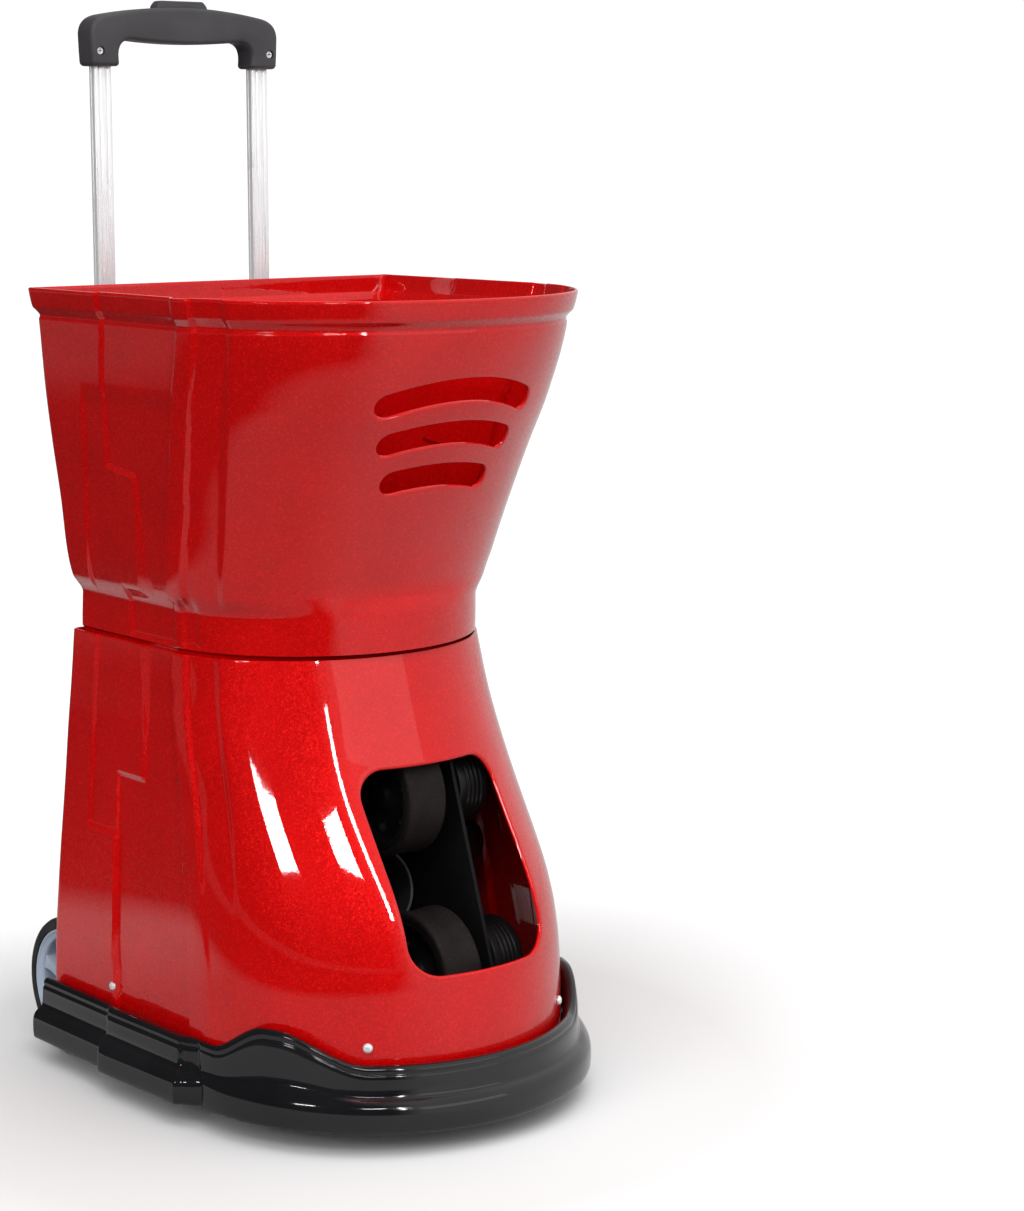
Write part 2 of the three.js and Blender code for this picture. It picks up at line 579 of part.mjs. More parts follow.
const KEYS = [
  { name: 'run_button', x: 0, z: 28, radius: 8, color: 0x2f8f46 },
  { name: 'speed_up_button', x: -30, z: 34, radius: 5.5, color: 0xd9dbde },
  { name: 'speed_down_button', x: -30, z: 18, radius: 5.5, color: 0xd9dbde },
  { name: 'angle_up_button', x: 30, z: 34, radius: 5.5, color: 0xd9dbde },
  { name: 'angle_down_button', x: 30, z: 18, radius: 5.5, color: 0xd9dbde },
];
const KEY = { floor: 6.4, foot: 8.6, top: 16 };
const ROCKER = { x: 0, z: -52, half: 7, tall: 10, pivot: 8.5, tilt: -7 * Math.PI / 180 };
const SOCKET = { x: 32, z: -52, radius: 9 };
const alongY = (g) => g.rotateX(Math.PI);
function rearPanel() {
  const cover = prism('y', roundedRect(-74, 74, -105, 105, 8), GAP, 3.3, 4);
  const { x, z, half, tall } = ROCKER;
  const rockerHole = slab(x - half - 1, x + half + 1, -5, 20, z - tall - 1.5, z + tall + 1.5);
  const socketHole = rod('y', SOCKET.radius - 2, -5, 20, 20).translate(SOCKET.x, 0, SOCKET.z);
  add('rear_cover', cut(cover, rockerHole, socketHole), blackPlastic, rear);

  const face = prism('y', roundedRect(-52, 52, 4, 92, 7), PANEL.back, PANEL.face, 4);
  const pockets = KEYS.map((k) => rod('y', k.radius + 0.5, KEY.floor, 30, 20).translate(k.x, 0, k.z));
  const window = slab(-34, 34, PANEL.face - 3, 30, 52, 82);
  add('control_panel', cut(face, window, ...pockets), blackPlastic, rear);
  add('display_window', slab(-34 + GAP, 34 - GAP, PANEL.face - 3 + GAP, PANEL.face - 0.5, 52 + GAP, 82 - GAP), clear, rear);
  for (const k of KEYS) {
    const profile = [[0, KEY.foot], [k.radius, KEY.foot], [k.radius, KEY.top - 1], [k.radius - 1, KEY.top], [0, KEY.top]];
    add(k.name, turned('y', profile, 20).translate(k.x, 0, k.z), keyPlastic(k.color), rear);
  }
  const bezel = cut(
    prism('y', roundedRect(x - 11, x + 11, z - 15, z + 15, 3), 3.6, 6.4, 4),
    slab(x - half - 1, x + half + 1, -5, 20, z - tall - 1.5, z + tall + 1.5),
  );
  add('switch_bezel', bezel, blackPlastic, rear);
  const paddle = polygon([[-7, -tall], [1, -tall], [-1.5, 0], [1, tall], [-7, tall]]);
  const rocker = prism('x', paddle, x - half, x + half).rotateX(ROCKER.tilt).translate(0, ROCKER.pivot, z);
  add('power_rocker', rocker, keyPlastic(0xb01818), rear);
  const bush = [[4, -4], [6.6, -4], [6.6, 3.6], [SOCKET.radius, 3.6], [SOCKET.radius, 8], [4, 8], [4, -4]];
  add('charge_socket', turned('y', bush, 20).translate(SOCKET.x, 0, SOCKET.z), steel, rear);
  add('control_board', slab(-56, 56, -18, -16, 10, 86), board, rear);
}
function battery() {
  add('battery', slab(-75, 75, 95, 165, PLATE.z1 + GAP, 126), blackPlastic);
}

basePlate();
baseSkirt();
frontFeet();
lowerHousing();
housingScrews();
hopper();
hopperFunnel();
feedPan();
feedMotor();
feedDisc();
ballChute();
headPlates();
ballGuide();
throwWheels();
yoke();
steeringMotors();
roadWheels();
handleTubes();
handleGrip();
rearPanel();
battery();

// The parts were drawn with y = 0 near the hopper's neck; this centres the whole machine over the origin.
machine.position.y = -BOX_CENTRE_Y;
export default machine;
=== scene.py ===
"""The looks of a tennis ball machine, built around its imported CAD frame.
+Z is up and the balls leave towards -Y. Shapes are worked out in millimetres, lights and camera in metres."""
from math import asin, atan, cos, pi, radians, sin, sqrt

import bmesh
import bpy
import numpy as np
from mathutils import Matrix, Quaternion, Vector

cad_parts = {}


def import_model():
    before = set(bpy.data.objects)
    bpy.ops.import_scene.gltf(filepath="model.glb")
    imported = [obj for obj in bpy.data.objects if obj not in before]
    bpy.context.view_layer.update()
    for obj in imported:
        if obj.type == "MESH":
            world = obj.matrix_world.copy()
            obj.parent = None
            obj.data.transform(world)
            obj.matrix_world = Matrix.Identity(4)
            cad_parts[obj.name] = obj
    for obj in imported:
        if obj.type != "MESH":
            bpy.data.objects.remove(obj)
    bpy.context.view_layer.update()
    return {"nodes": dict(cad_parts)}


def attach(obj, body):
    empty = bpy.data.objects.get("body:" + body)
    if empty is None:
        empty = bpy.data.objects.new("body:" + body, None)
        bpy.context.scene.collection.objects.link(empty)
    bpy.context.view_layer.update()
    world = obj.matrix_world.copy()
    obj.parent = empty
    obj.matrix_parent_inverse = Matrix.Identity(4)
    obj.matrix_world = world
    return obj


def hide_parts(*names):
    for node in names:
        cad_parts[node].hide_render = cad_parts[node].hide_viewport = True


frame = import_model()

MM = 0.001
CENTRE = np.array([0, -7, 0])  # the shapes are drawn 7 mm in front of their place in the frame
NODES = frame["nodes"]

# ---- dimensions shared with the CAD, in mm
# z, half width, y where the front ellipse starts, y of the flat back, y of the front
HOUSING = np.array([
    (66, 183, -33, 220.2, -231), (110, 183, -31, 218.3, -230), (153, 181, -26, 216.4, -229),
    (200, 178, -18, 214.4, -218), (250, 174, -6, 212.2, -188), (290, 171, 6, 210.5, -162),
    (324, 169, 18, 209.1, -143), (370, 165, 32, 207.1, -124), (420, 162, 40, 204.9, -108)], float)
HOPPER = np.array([
    (408, 155, 44, 196, -97), (421.5, 155.5, 44, 196, -101), (424, 158, 45, 196, -114),
    (456, 158, 45, 194, -115), (475, 170, 38, 192, -112), (500, 176, 30, 191, -119),
    (550, 182, 15, 190, -141), (600, 189, 0, 190, -165),
    (650, 195, -15, 190, -193), (712, 200, -31, 190, -217), (721, 200.8, -31.3, 190.5, -218.5),
    (727, 204.5, -33, 194, -224.5), (744, 208, -35, 195, -229)], float)
EVENED = 22.0  # the housing's outline is averaged this far up and down
BACK_CORNER = 8.0
WALL = 3.0
LAUNCH = dict(cx=0, cz=238.25, hx=76, hz=85.75, r=27)  # centre, half sizes and corner radius of the opening
SLOTS = ((664, 75), (625, 62), (586, 48))  # top and half width of each vent slot's middle line
SLOT_ARC, SLOT_HALF = 240, 10.75  # radius of those lines, and half a slot's height
HEAD_AT, HEAD_TILT = (0, -107.5, 207), radians(-18.3)
PIVOT = (60, 28)
THROW_RADIUS, THROW_HALF, THROW_OFFSET = 58, 21, 82.7
PLATE_FACE = 50.3  # the head plates' outer faces, with a little play
ROAD_Y, ROAD_RADIUS, ROAD_X0, ROAD_X1 = 206, 68, 150, 178
AXLE_AT = (0, ROAD_Y, ROAD_RADIUS)
FEED_Y, FEED_Z, FEED_RADIUS, POCKET_RING = 40, 444, 105, 62
HANDLE_X, HANDLE_Y = 90, 246
REAR_Z, REAR_SLOPE = 290, 0.0431
REAR_Y = 220.2 - REAR_SLOPE * (REAR_Z - 66)
TILT_AXIS = (-41.743, 214.744)
SIDES = (("left", -1), ("right", 1))


# ---- curves
def monotone(xs, ys, x):
    """A smooth curve through the points that doesn't overshoot them."""
    h = np.diff(xs)
    slope = np.diff(ys) / h
    m = np.zeros(len(xs))
    same = slope[:-1] * slope[1:] > 0
    both = np.where(same, slope[:-1] + slope[1:], 1.0)
    m[1:-1] = np.where(same, 2 * slope[:-1] * slope[1:] / both, 0.0)
    m[0], m[-1] = slope[0], slope[-1]
    i = np.clip(np.searchsorted(xs, x) - 1, 0, len(h) - 1)
    t = (x - xs[i]) / h[i]
    ends = (1 + 2 * t) * (1 - t) ** 2 * ys[i] + t * t * (3 - 2 * t) * ys[i + 1]
    return ends + h[i] * (t * (1 - t) ** 2 * m[i] + t * t * (t - 1) * m[i + 1])


def sections(table, z):
    """The outline's four measures at that height, the housing's averaged over a stretch for an even curve."""
    steps = np.linspace(-EVENED, EVENED, 9) if table is HOUSING else [0.0]
    return [sum(monotone(table[:, 0], table[:, k], z + d) for d in steps) / len(steps) for k in range(1, 5)]


def ease(x, at, width):
    """0 before `at`, 1 after it, with a smooth ramp of that width."""
    s = np.clip((x - at) / width + 0.5, 0, 1)
    return s * s * (3 - 2 * s)


def between(x, low, high, width):
    """1 from `low` to `high`, with smooth ramps."""
    return ease(x, low, width) * (1 - ease(x, high, width))


def link(name, data):
    obj = bpy.data.objects.new(name, data)
    bpy.context.scene.collection.objects.link(obj)
    return obj


def mesh_object(name, verts, faces):
    """A bare mesh object from points in mm."""
    mesh = bpy.data.meshes.new(name)
    points = (np.asarray(verts, float) + CENTRE) * MM
    mesh.from_pydata(points.tolist(), [], [tuple(map(int, f)) for f in faces])
    mesh.update()
    return link(name, mesh)


def add_object(name, verts, faces, material, body, replaces=None, angle=32, merge=True):
    """A piece from points in mm, with its material, body and slot and the node it replaces."""
    obj = mesh_object(name, verts, faces)
    obj.data.materials.append(LOOKS[material])
    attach(obj, body)
    if replaces:
        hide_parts(replaces)
    tidy_mesh(obj, angle, merge)
    return obj


def smooth(obj, angle=32):
    """Smooth shading, except over edges sharper than that."""
    obj.data.shade_smooth()
    obj.data.set_sharp_from_angle(angle=radians(angle))


def tidy_mesh(obj, angle=32, merge=True):
    """Joins points that coincide, or only drops those without a face, and turns the faces outwards."""
    bm = bmesh.new()
    bm.from_mesh(obj.data)
    if merge:
        bmesh.ops.remove_doubles(bm, verts=bm.verts, dist=2e-6)
        bmesh.ops.dissolve_degenerate(bm, edges=bm.edges, dist=1e-7)
    else:
        bmesh.ops.delete(bm, geom=[v for v in bm.verts if not v.link_faces], context="VERTS")
    bmesh.ops.recalc_face_normals(bm, faces=bm.faces)
    bm.to_mesh(obj.data)
    bm.free()
    smooth(obj, angle)


def bake(obj, angle=32):
    """Applies an object's modifiers."""
    bpy.context.view_layer.update()
    graph = bpy.context.evaluated_depsgraph_get()
    mesh = bpy.data.meshes.new_from_object(obj.evaluated_get(graph))
    obj.modifiers.clear()
    obj.data = mesh
    smooth(obj, angle)


def bevel_modifier(obj, width, segments, limit, harden=False):
    mod = obj.modifiers.new("bevel", "BEVEL")
    mod.width, mod.segments = width * MM, segments
    mod.limit_method, mod.angle_limit = "ANGLE", radians(limit)
    mod.use_clamp_overlap, mod.harden_normals = True, harden


def bevel(obj, width, segments=3, angle=32, limit=30):
    bevel_modifier(obj, width, segments, limit)
    bake(obj, angle)


def combine(obj, tools, operation="DIFFERENCE", angle=32, move=None):
    """Cuts closed meshes, as (points in mm, faces), out of a piece, or joins them to it."""
    for verts, faces in tools:
        tool = mesh_object("tool", move(verts) if move else verts, faces)
        tidy_mesh(tool)
        mod = obj.modifiers.new("bool", "BOOLEAN")
        mod.operation, mod.solver, mod.object = operation, "MANIFOLD", tool
        bake(obj, angle)
        bpy.data.objects.remove(tool)


def box_mesh(x0, x1, y0, y1, z0, z1):
    verts = [(x, y, z) for x in (x0, x1) for y in (y0, y1) for z in (z0, z1)]
    return verts, [(0, 1, 3, 2), (4, 6, 7, 5), (0, 4, 5, 1), (2, 3, 7, 6), (0, 2, 6, 4), (1, 5, 7, 3)]


def cross_mesh(x, z, y0, y1, arm, half):
    """Two boxes that cut the cross in a screw's head."""
    return [box_mesh(x - a, x + a, y0, y1, z - b, z + b) for a, b in ((half, arm), (arm, half))]


def ring_faces(rings, count, gap=0):
    """Faces between rings of that many points, the last ring joined to the first."""
    return [(i * count + k, i * count + (k + 1) % count, (i + 1) % rings * count + (k + 1) % count,
             (i + 1) % rings * count + k) for i in range(rings) for k in range(count - gap)]


AXES = {"x": ((0, 1, 0), (0, 0, 1), (1, 0, 0)), "y": ((0, 0, 1), (1, 0, 0), (0, 1, 0)),
        "z": ((1, 0, 0), (0, 1, 0), (0, 0, 1))}


def turned_mesh(axis, profile, segments=64, at=(0, 0, 0)):
    """A turned solid. Its profile is a closed run of (radius, place along the axis)."""
    u, v, w = (np.array(a, float) for a in AXES[axis])
    verts, rings = [], []
    for r, h in profile:
        if r <= 1e-6:
            rings.append([len(verts)] * segments)
            verts.append(np.array(at) + w * h)
        else:
            rings.append(list(range(len(verts), len(verts) + segments)))
            for k in range(segments):
                a = 2 * pi * k / segments
                verts.append(np.array(at) + u * r * cos(a) + v * r * sin(a) + w * h)
    faces = []
    for a, b in zip(rings, rings[1:] + rings[:1]):
        for k in range(segments):
            m = (k + 1) % segments
            quad = (a[k], a[m], b[m], b[k])
            corners = list(dict.fromkeys(quad))
            if len(corners) > 2:
                faces.append(corners)
    return np.array(verts), faces


def prism_mesh(axis, points, low, high):
    """A prism whose outline is given in the plane across its axis."""
    u, v, w = (np.array(a, float) for a in AXES[axis])
    n = len(points)
    verts = [u * p[0] + v * p[1] + w * h for h in (low, high) for p in points]
    faces = [tuple(range(n))[::-1], tuple(range(n, 2 * n))]
    faces += [(k, (k + 1) % n, n + (k + 1) % n, n + k) for k in range(n)]
    return np.array(verts), faces


def rounded(profile, radius, steps=4):
    """The closed profile with its corners rounded by up to that radius."""
    out = []
    n = len(profile)
    pts = [np.array(p, float) for p in profile]
    for i in range(n):
        a, b, c = pts[i - 1], pts[i], pts[(i + 1) % n]
        if b[0] <= 1e-6 and (a[0] <= 1e-6 or c[0] <= 1e-6):
            out.append(tuple(b))
            continue
        la, lc = np.linalg.norm(a - b), np.linalg.norm(c - b)
        r = min(radius, la * 0.45, lc * 0.45)
        p, q = b + (a - b) / la * r, b + (c - b) / lc * r
        for k in range(steps + 1):
            t = k / steps
            out.append(tuple((1 - t) ** 2 * p + 2 * t * (1 - t) * b + t * t * q))
    return out


def turned(name, axis, profile, material, body, replaces, at=(0, 0, 0), segments=64, soft=1.0, move=None):
    """A turned piece whose profile's corners are rounded by `soft`."""
    verts, faces = turned_mesh(axis, rounded(profile, soft), segments, at)
    return add_object(name, move(verts) if move else verts, faces, material, body, replaces)


def prism(name, axis, points, low, high, edge, material, body, replaces=None, move=None, angle=32):
    """A prism whose edges are bevelled by `edge`."""
    verts, faces = prism_mesh(axis, points, low, high)
    obj = add_object(name, move(verts) if move else verts, faces, material, body, replaces, angle)
    if edge:
        bevel(obj, edge, 3, angle)
    return obj


def rect(u0, u1, v0, v1, r, steps=6):
    """A rectangle with round corners."""
    out = []
    corners = ((u1 - r, v1 - r, 0), (u0 + r, v1 - r, 90), (u0 + r, v0 + r, 180), (u1 - r, v0 + r, 270))
    for cu, cv, start in corners:
        for k in range(steps + 1):
            a = radians(start + 90 * k / steps)
            out.append((cu + r * cos(a), cv + r * sin(a)))
    return out


def turned_about_x(points, angle, at=(0, 0, 0)):
    points = np.asarray(points, float)
    c, s = cos(angle), sin(angle)
    y, z = points[:, 1], points[:, 2]
    return np.stack([points[:, 0], y * c - z * s, y * s + z * c], -1) + np.array(at)


def in_head(points):
    return turned_about_x(points, HEAD_TILT, HEAD_AT)


def on_rear(points):
    return turned_about_x(points, atan(REAR_SLOPE), (0, REAR_Y, REAR_Z))


# ---- moulded shells
BACK, CORNER, SIDE, FRONT = range(4)
SHELL_COUNTS = (14, 5, 120, 120)
LIP_TURNS = 4


def ring_columns():
    """The columns of a shell: which stretch of the outline each is on, how far along it, and on which side."""
    kind, f = [], []
    for k, n in zip((BACK, CORNER, SIDE, FRONT), SHELL_COUNTS):
        kind += [k] * n
        f += [i / n for i in range(n)]
    kind.append(FRONT)
    f.append(1.0)
    kind, f = np.array(kind), np.array(f)
    other = slice(-2, 0, -1)
    return (np.concatenate([kind, kind[other]]), np.concatenate([f, f[other]]),
            np.concatenate([np.ones(len(f)), -np.ones(len(f) - 2)]))


def outline(table, kind, f, sign, z):
    """Points of the body's surface before its relief."""
    half, corner, back, front = sections(table, z)
    r = BACK_CORNER
    q = f * pi / 2
    x = np.choose(kind, [f * (half - r), half - r + r * np.sin(q), half + 0 * f, half * np.cos(q)])
    y = np.choose(kind, [back + 0 * f, back - r + r * np.cos(q), back - r + (corner - back + r) * f,
                         corner - (corner - front) * np.sin(q)])
    return np.stack([sign * x, y, z + 0 * f], -1)


def run_from_corner(table, kind, f, z):
    """Distance along the outline from where the side meets the front: positive on the side."""
    _, corner, back, front = sections(table, z)
    q = f * pi / 2
    on_front = -(corner - front) * (np.sin(q) * 0.75 + q * 0.25)
    return np.where(kind == FRONT, on_front, (corner - back + BACK_CORNER) * (f - 1))


def grid_normals(points):
    """The outward direction at each point of a closed grid."""
    across = np.roll(points, -1, 1) - np.roll(points, 1, 1)
    up = np.gradient(points, axis=0)
    n = np.cross(across, up)
    n /= np.linalg.norm(n, axis=-1, keepdims=True)
    out = points - np.array([0, 20, 0])
    return n * np.sign((n * out * (1, 1, 0)).sum(-1).mean())


def shell(name, table, heights, relief, gap, lip, replaces):
    """A moulded red shell with walls of one thickness and rounded lips.
    gap(x, z) is the distance to the nearest opening in its front, negative inside one."""
    kind, f, sign = ring_columns()
    nu, nv = len(kind), len(heights)
    K = np.broadcast_to(kind, (nv, nu))
    F = np.broadcast_to(f, (nv, nu)).copy()
    S = np.broadcast_to(sign, (nv, nu))
    Z = np.repeat(np.asarray(heights, float)[:, None], nu, 1)
    base = outline(table, K, F, S, Z)
    normal = grid_normals(base)

    def surface(ff, zz):
        p = outline(table, K, ff, S, zz)
        return p + normal * relief(table, K, ff, p, zz)[..., None]

    distance = np.where(K == FRONT, gap(base[..., 0], base[..., 2]), 999.0)
    j = np.arange(nu)
    k1 = (j + 1) % nu
    centre = sum(row[:, k] for row in (distance[:-1], distance[1:]) for k in (j, k1)) / 4
    keep = centre > lip
    idx = np.arange(nv * nu).reshape(nv, nu)
    quads = np.stack([idx[:-1][:, j], idx[:-1][:, k1], idx[1:][:, k1], idx[1:][:, j]], -1)
    kept = quads[keep]
    lost, used = np.zeros(nv * nu, bool), np.zeros(nv * nu, bool)
    lost[quads[~keep].ravel()] = True
    used[kept.ravel()] = True
    edge = (lost & used).reshape(nv, nu)
    half = sections(table, Z)[0]

    def snapped(target):
        """The surface with the opening's edge points moved to that distance from it."""
        x, z = base[..., 0].copy(), base[..., 2].copy()
        for _ in range(8):
            e = 0.05
            d = gap(x, z)
            gx = (gap(x + e, z) - gap(x - e, z)) / (2 * e)
            gz = (gap(x, z + e) - gap(x, z - e)) / (2 * e)
            length = np.maximum(gx * gx + gz * gz, 1e-6)
            x = np.where(edge, x - (d - target) * gx / length, x)
            z = np.where(edge, z - (d - target) * gz / length, z)
        ff = np.where(edge, np.arccos(np.clip(np.abs(x) / half, 0, 1)) * 2 / pi, F)
        return surface(ff, np.where(edge, z, Z))

    layers = []
    for k in range(LIP_TURNS + 1):
        a = k / LIP_TURNS * pi / 2
        layers.append(snapped(lip * (1 - sin(a))) - normal * lip * (1 - cos(a)))
    inner = np.where(edge[..., None], layers[-1] - normal * (WALL - lip), surface(F, Z) - normal * WALL)

    n = nv * nu
    verts = [layers[0].reshape(-1, 3), inner.reshape(-1, 3)]
    faces = [tuple(q) for q in kept] + [tuple(q[::-1] + n) for q in kept]
    ways = {(int(q[a]), int(q[(a + 1) % 4])) for q in kept[edge.ravel()[kept].any(1)] for a in range(4)}
    rim = sorted((a, b) for a, b in ways if (b, a) not in ways and edge.ravel()[a] and edge.ravel()[b])
    count = 2 * n
    chains = {}
    for a in sorted({v for pair in rim for v in pair}):
        chain = [a]
        for k in range(1, LIP_TURNS + 1):
            verts.append(layers[k].reshape(-1, 3)[a][None])
            chain.append(count)
            count += 1
        chains[a] = chain + [a + n]
    for a, b in rim:
        for k in range(LIP_TURNS + 1):
            faces.append((chains[b][k], chains[a][k], chains[a][k + 1], chains[b][k + 1]))
    for row, way in ((0, -1), (nv - 1, 1)):
        o, i = layers[0][row], inner[row]
        mid, arm = (o + i) / 2, (o - i) / 2
        previous = row * nu + j
        for k in range(1, 6):
            if k < 5:
                a = k / 5 * pi
                verts.append(mid + arm * cos(a) + np.array([0, 0, way * WALL / 2 * sin(a)]))
                current = count + j
                count += nu
            else:
                current = n + row * nu + j
            faces += [(previous[m], previous[k1[m]], current[k1[m]], current[m])[::way] for m in range(nu)]
            previous = current
    return add_object(name, np.concatenate(verts), faces, "red_paint", "base", replaces, 40, merge=False)


def box_gap(x, z, cx, cz, hx, hz, r):
    """Distance to a box with round corners."""
    qx, qz = np.abs(x - cx) - hx + r, np.abs(z - cz) - hz + r
    return np.hypot(np.maximum(qx, 0), np.maximum(qz, 0)) + np.minimum(np.maximum(qx, qz), 0) - r


def launch_gap(x, z):
    return box_gap(x, z, **LAUNCH)


def slot_gap(x, z):
    """Three arched slots with round ends."""
    found = 999.0 + 0 * x
    for top, half in SLOTS:
        middle = top - SLOT_ARC
        end = asin(half / SLOT_ARC)
        turn = np.arctan2(np.abs(x), z - middle)
        on_arc = np.abs(np.hypot(x, z - middle) - SLOT_ARC)
        end_x, end_z = half, middle + SLOT_ARC * cos(end)
        past = np.hypot(np.abs(x) - end_x, z - end_z)
        found = np.minimum(found, np.where(turn < end, on_arc, past) - SLOT_HALF)
    return found


STEP = 2.2  # height of a moulded step in the side panels
CREASE = 3.2  # width of a step's slope
PROUD = 0.6  # the corner columns over the outline
HOPPER_WEDGE_Z, HOUSING_WEDGE_Z = 576, 313  # where each wedge begins


def corner_relief(side, w, left, right, shelf, channel):
    """The side's relief, then a proud corner column, and a sunk channel that ends at `shelf`."""
    on_front = ease(-w, -left, 4)
    column = PROUD * (1 - ease(-w, -right, 4))
    sunk = -channel * ease(-w, -right, 4) * (1 - ease(-w, -shelf, 9))
    return side * (1 - on_front) + (column + sunk) * on_front


def hopper_relief(table, kind, f, p, z):
    """Three panels a side, each proud of the one in front of it, and a sharp wedge where two of them meet."""
    y = p[..., 1]
    w = run_from_corner(table, kind, f, z)
    # the front panel ends at a line that leans forward as it rises, and lower down in the wedge
    line = 97 - (z - 594) * 0.155
    wedge = np.clip((HOPPER_WEDGE_Z - z) * 0.2, CREASE, None)
    front = 1 - np.clip((y - 54) / wedge, 0, 1)
    above_wedge = ease(z - 0.14 * (y - 78), HOPPER_WEDGE_Z + 6.5, 3)
    front += (1 - ease(y, line, CREASE) - front) * above_wedge
    middle = (1 - ease(y, 120 + (654 - z) * 0.19, CREASE)) * (1 - ease(z, 650, 22))
    upper = corner_relief(-STEP * (middle + 1.2 * front), w, -10, -34, -70, 3.0)
    neck = corner_relief(-STEP * (1 - ease(y, 104, CREASE)), w, -12, -25, -42, 1.8)
    share = ease(z, 468, 16)
    groove = -1.2 * between(z, 716.5, 720.5, 2.5)
    return (neck * (1 - share) + upper * share) * ease(z, 426, 4) + groove


def housing_relief(table, kind, f, p, z):
    """As on the hopper, with the wedge widening upwards."""
    y = p[..., 1]
    w = run_from_corner(table, kind, f, z)
    line = 107 + (z - 74) * 0.046  # where the panels meet low down, leaning back
    wedge = np.clip((z - HOUSING_WEDGE_Z) * 0.135, CREASE, None)
    high = ease(z, 295, 4)
    front = 1 - high * np.clip((y - 72) / wedge, 0, 1) - (1 - high) * ease(y, line, CREASE)
    far = ease(z, 238, 5)
    middle = 1 - far * ease(y, 159.5, CREASE) - (1 - far) * ease(y, line, CREASE)
    left = monotone(np.array([68., 199, 332, 418]), np.array([14., 13.5, -2, -7]), z)
    right = monotone(np.array([78., 205, 336, 420]), np.array([-28., -18, -24, -27]), z)
    channel = 2.6 * ease(z, 240, 110)
    return corner_relief(-STEP * (middle + 1.2 * front), w, left, right, -60, channel)


def rows(*stretches):
    """Heights from stretches of (from, to, spacing)."""
    out = []
    for low, high, spacing in stretches:
        n = max(1, round((high - low) / spacing))
        out += [low + (high - low) * i / n for i in range(n)]
    return out + [stretches[-1][1]]


def red_shells():
    heights = rows((410, 420, 4), (420, 427, 1), (427, 452, 3), (452, 500, 1.6), (500, 576, 2.3),
                   (576, 590, 1.2), (590, 714, 2.3), (714, 730, 0.9), (730, 742.5, 2))
    shell("hopper_shell", HOPPER, heights, hopper_relief, slot_gap, 1.6, "hopper")
    heights = rows((68, 140, 2.6), (140, 340, 2.2), (340, 414, 2.6), (414, 418.5, 1.2))
    housing = shell("housing_shell", HOUSING, heights, housing_relief, launch_gap, 2.2, "lower_housing")
    wheel_bays = [box_mesh(s * 162.5 - 17.5, s * 162.5 + 17.5, 180, 240, 40, 141) for s in (-1, 1)]
    combine(housing, wheel_bays, angle=40)


# ---- base
SKIRT_BACK, SKIRT_FRONT, SKIRT_HALF, SKIRT_CORNER = 213.5, -260, 199, -62
NEAR_HALF = 184.2  # half width of the outline that the skirt's top runs along
HUMP = 27  # how far the skirt's top rises over each front fender


def skirt_columns():
    """Points of the skirt's widest outline, and of the body's outline that its top edge runs along."""
    t = np.arange(151) / 150
    y = SKIRT_BACK + (SKIRT_CORNER - SKIRT_BACK) * t
    # wider beside the road wheels' front, then narrowing, with a dip where each front fender begins
    x = 210 + 8 * ease(-y, -88, 9) - 4 * np.clip((74 - y) / 113, 0, 1) - 15 * ease(-y, 50.5, 23)
    x -= 4 * between(-y, 40, 60, 4)
    degrees = np.arange(1, 121) * 0.75
    c, s = np.cos(np.radians(degrees)), np.sin(np.radians(degrees))
    wide = np.column_stack([np.append(x, SKIRT_HALF * c),
                            np.append(y, SKIRT_CORNER - (SKIRT_CORNER - SKIRT_FRONT) * s)])
    near = np.column_stack([np.append(NEAR_HALF + 0 * t, NEAR_HALF * c),
                            np.append(SKIRT_BACK + (-33 - SKIRT_BACK) * t, -32 - 199.8 * s)])
    hump = np.append(0 * t, HUMP * ease(degrees, 15, 18) * (1 - ease(degrees, 39.5, 25)))
    flip = np.array([-1, 1])
    return (np.concatenate([wide, wide[-2::-1] * flip]), np.concatenate([near, near[-2::-1] * flip]),
            np.concatenate([hump, hump[-2::-1]]))


# height, share of the way out from the body, share of the hump followed
SKIRT_PROFILE = (
    (22, .82, 0), (22, .91, 0), (23, .955, 0), (25.5, .985, 0), (30, 1, 0), (38, 1, 0), (42, .985, 0),
    (45, .95, .03), (47.6, .89, .06), (49.6, .81, .12), (51, .72, .2), (52, .64, .27), (53.2, .6, .33),
    (56, .575, .42), (62, .555, .62), (68, .54, .8), (70.6, .525, .9), (71.6, .5, .93), (72, .475, .95),
    (72.6, .47, .97), (73.6, .49, 1), (75.2, .492, 1), (77, .47, 1), (78.4, .42, 1), (79.2, .35, 1),
    (79.2, .27, 1), (78.2, .19, 1), (76, .12, 1), (71, .05, 1), (68, .02, 1), (66, .06, 1), (64, .3, .85),
    (56, .42, .4), (46, .78, 0), (40, .86, 0), (30, .88, 0))


def skirt():
    wide, near, hump = skirt_columns()
    n, m = len(wide), len(SKIRT_PROFILE)
    verts = [np.column_stack([near + (wide - near) * out, z + follow * hump])
             for z, out, follow in SKIRT_PROFILE]
    faces = ring_faces(m, n, 1)
    faces.append(tuple(a * n for a in range(m)))
    faces.append(tuple(a * n + n - 1 for a in range(m))[::-1])
    add_object("skirt", np.concatenate(verts), faces, "gloss_black", "base", "base_skirt", 50)


def feet():
    profile = [(0, 0), (13, 0), (15, 2), (14, 8), (12.5, 12), (12, 23.7), (0, 23.7)]
    for side, sign in SIDES:
        turned(f"foot_{side}", "z", profile, "foot_rubber", "base", f"front_foot_{side}",
               (sign * 105, -125, 0), 48, 1.2)


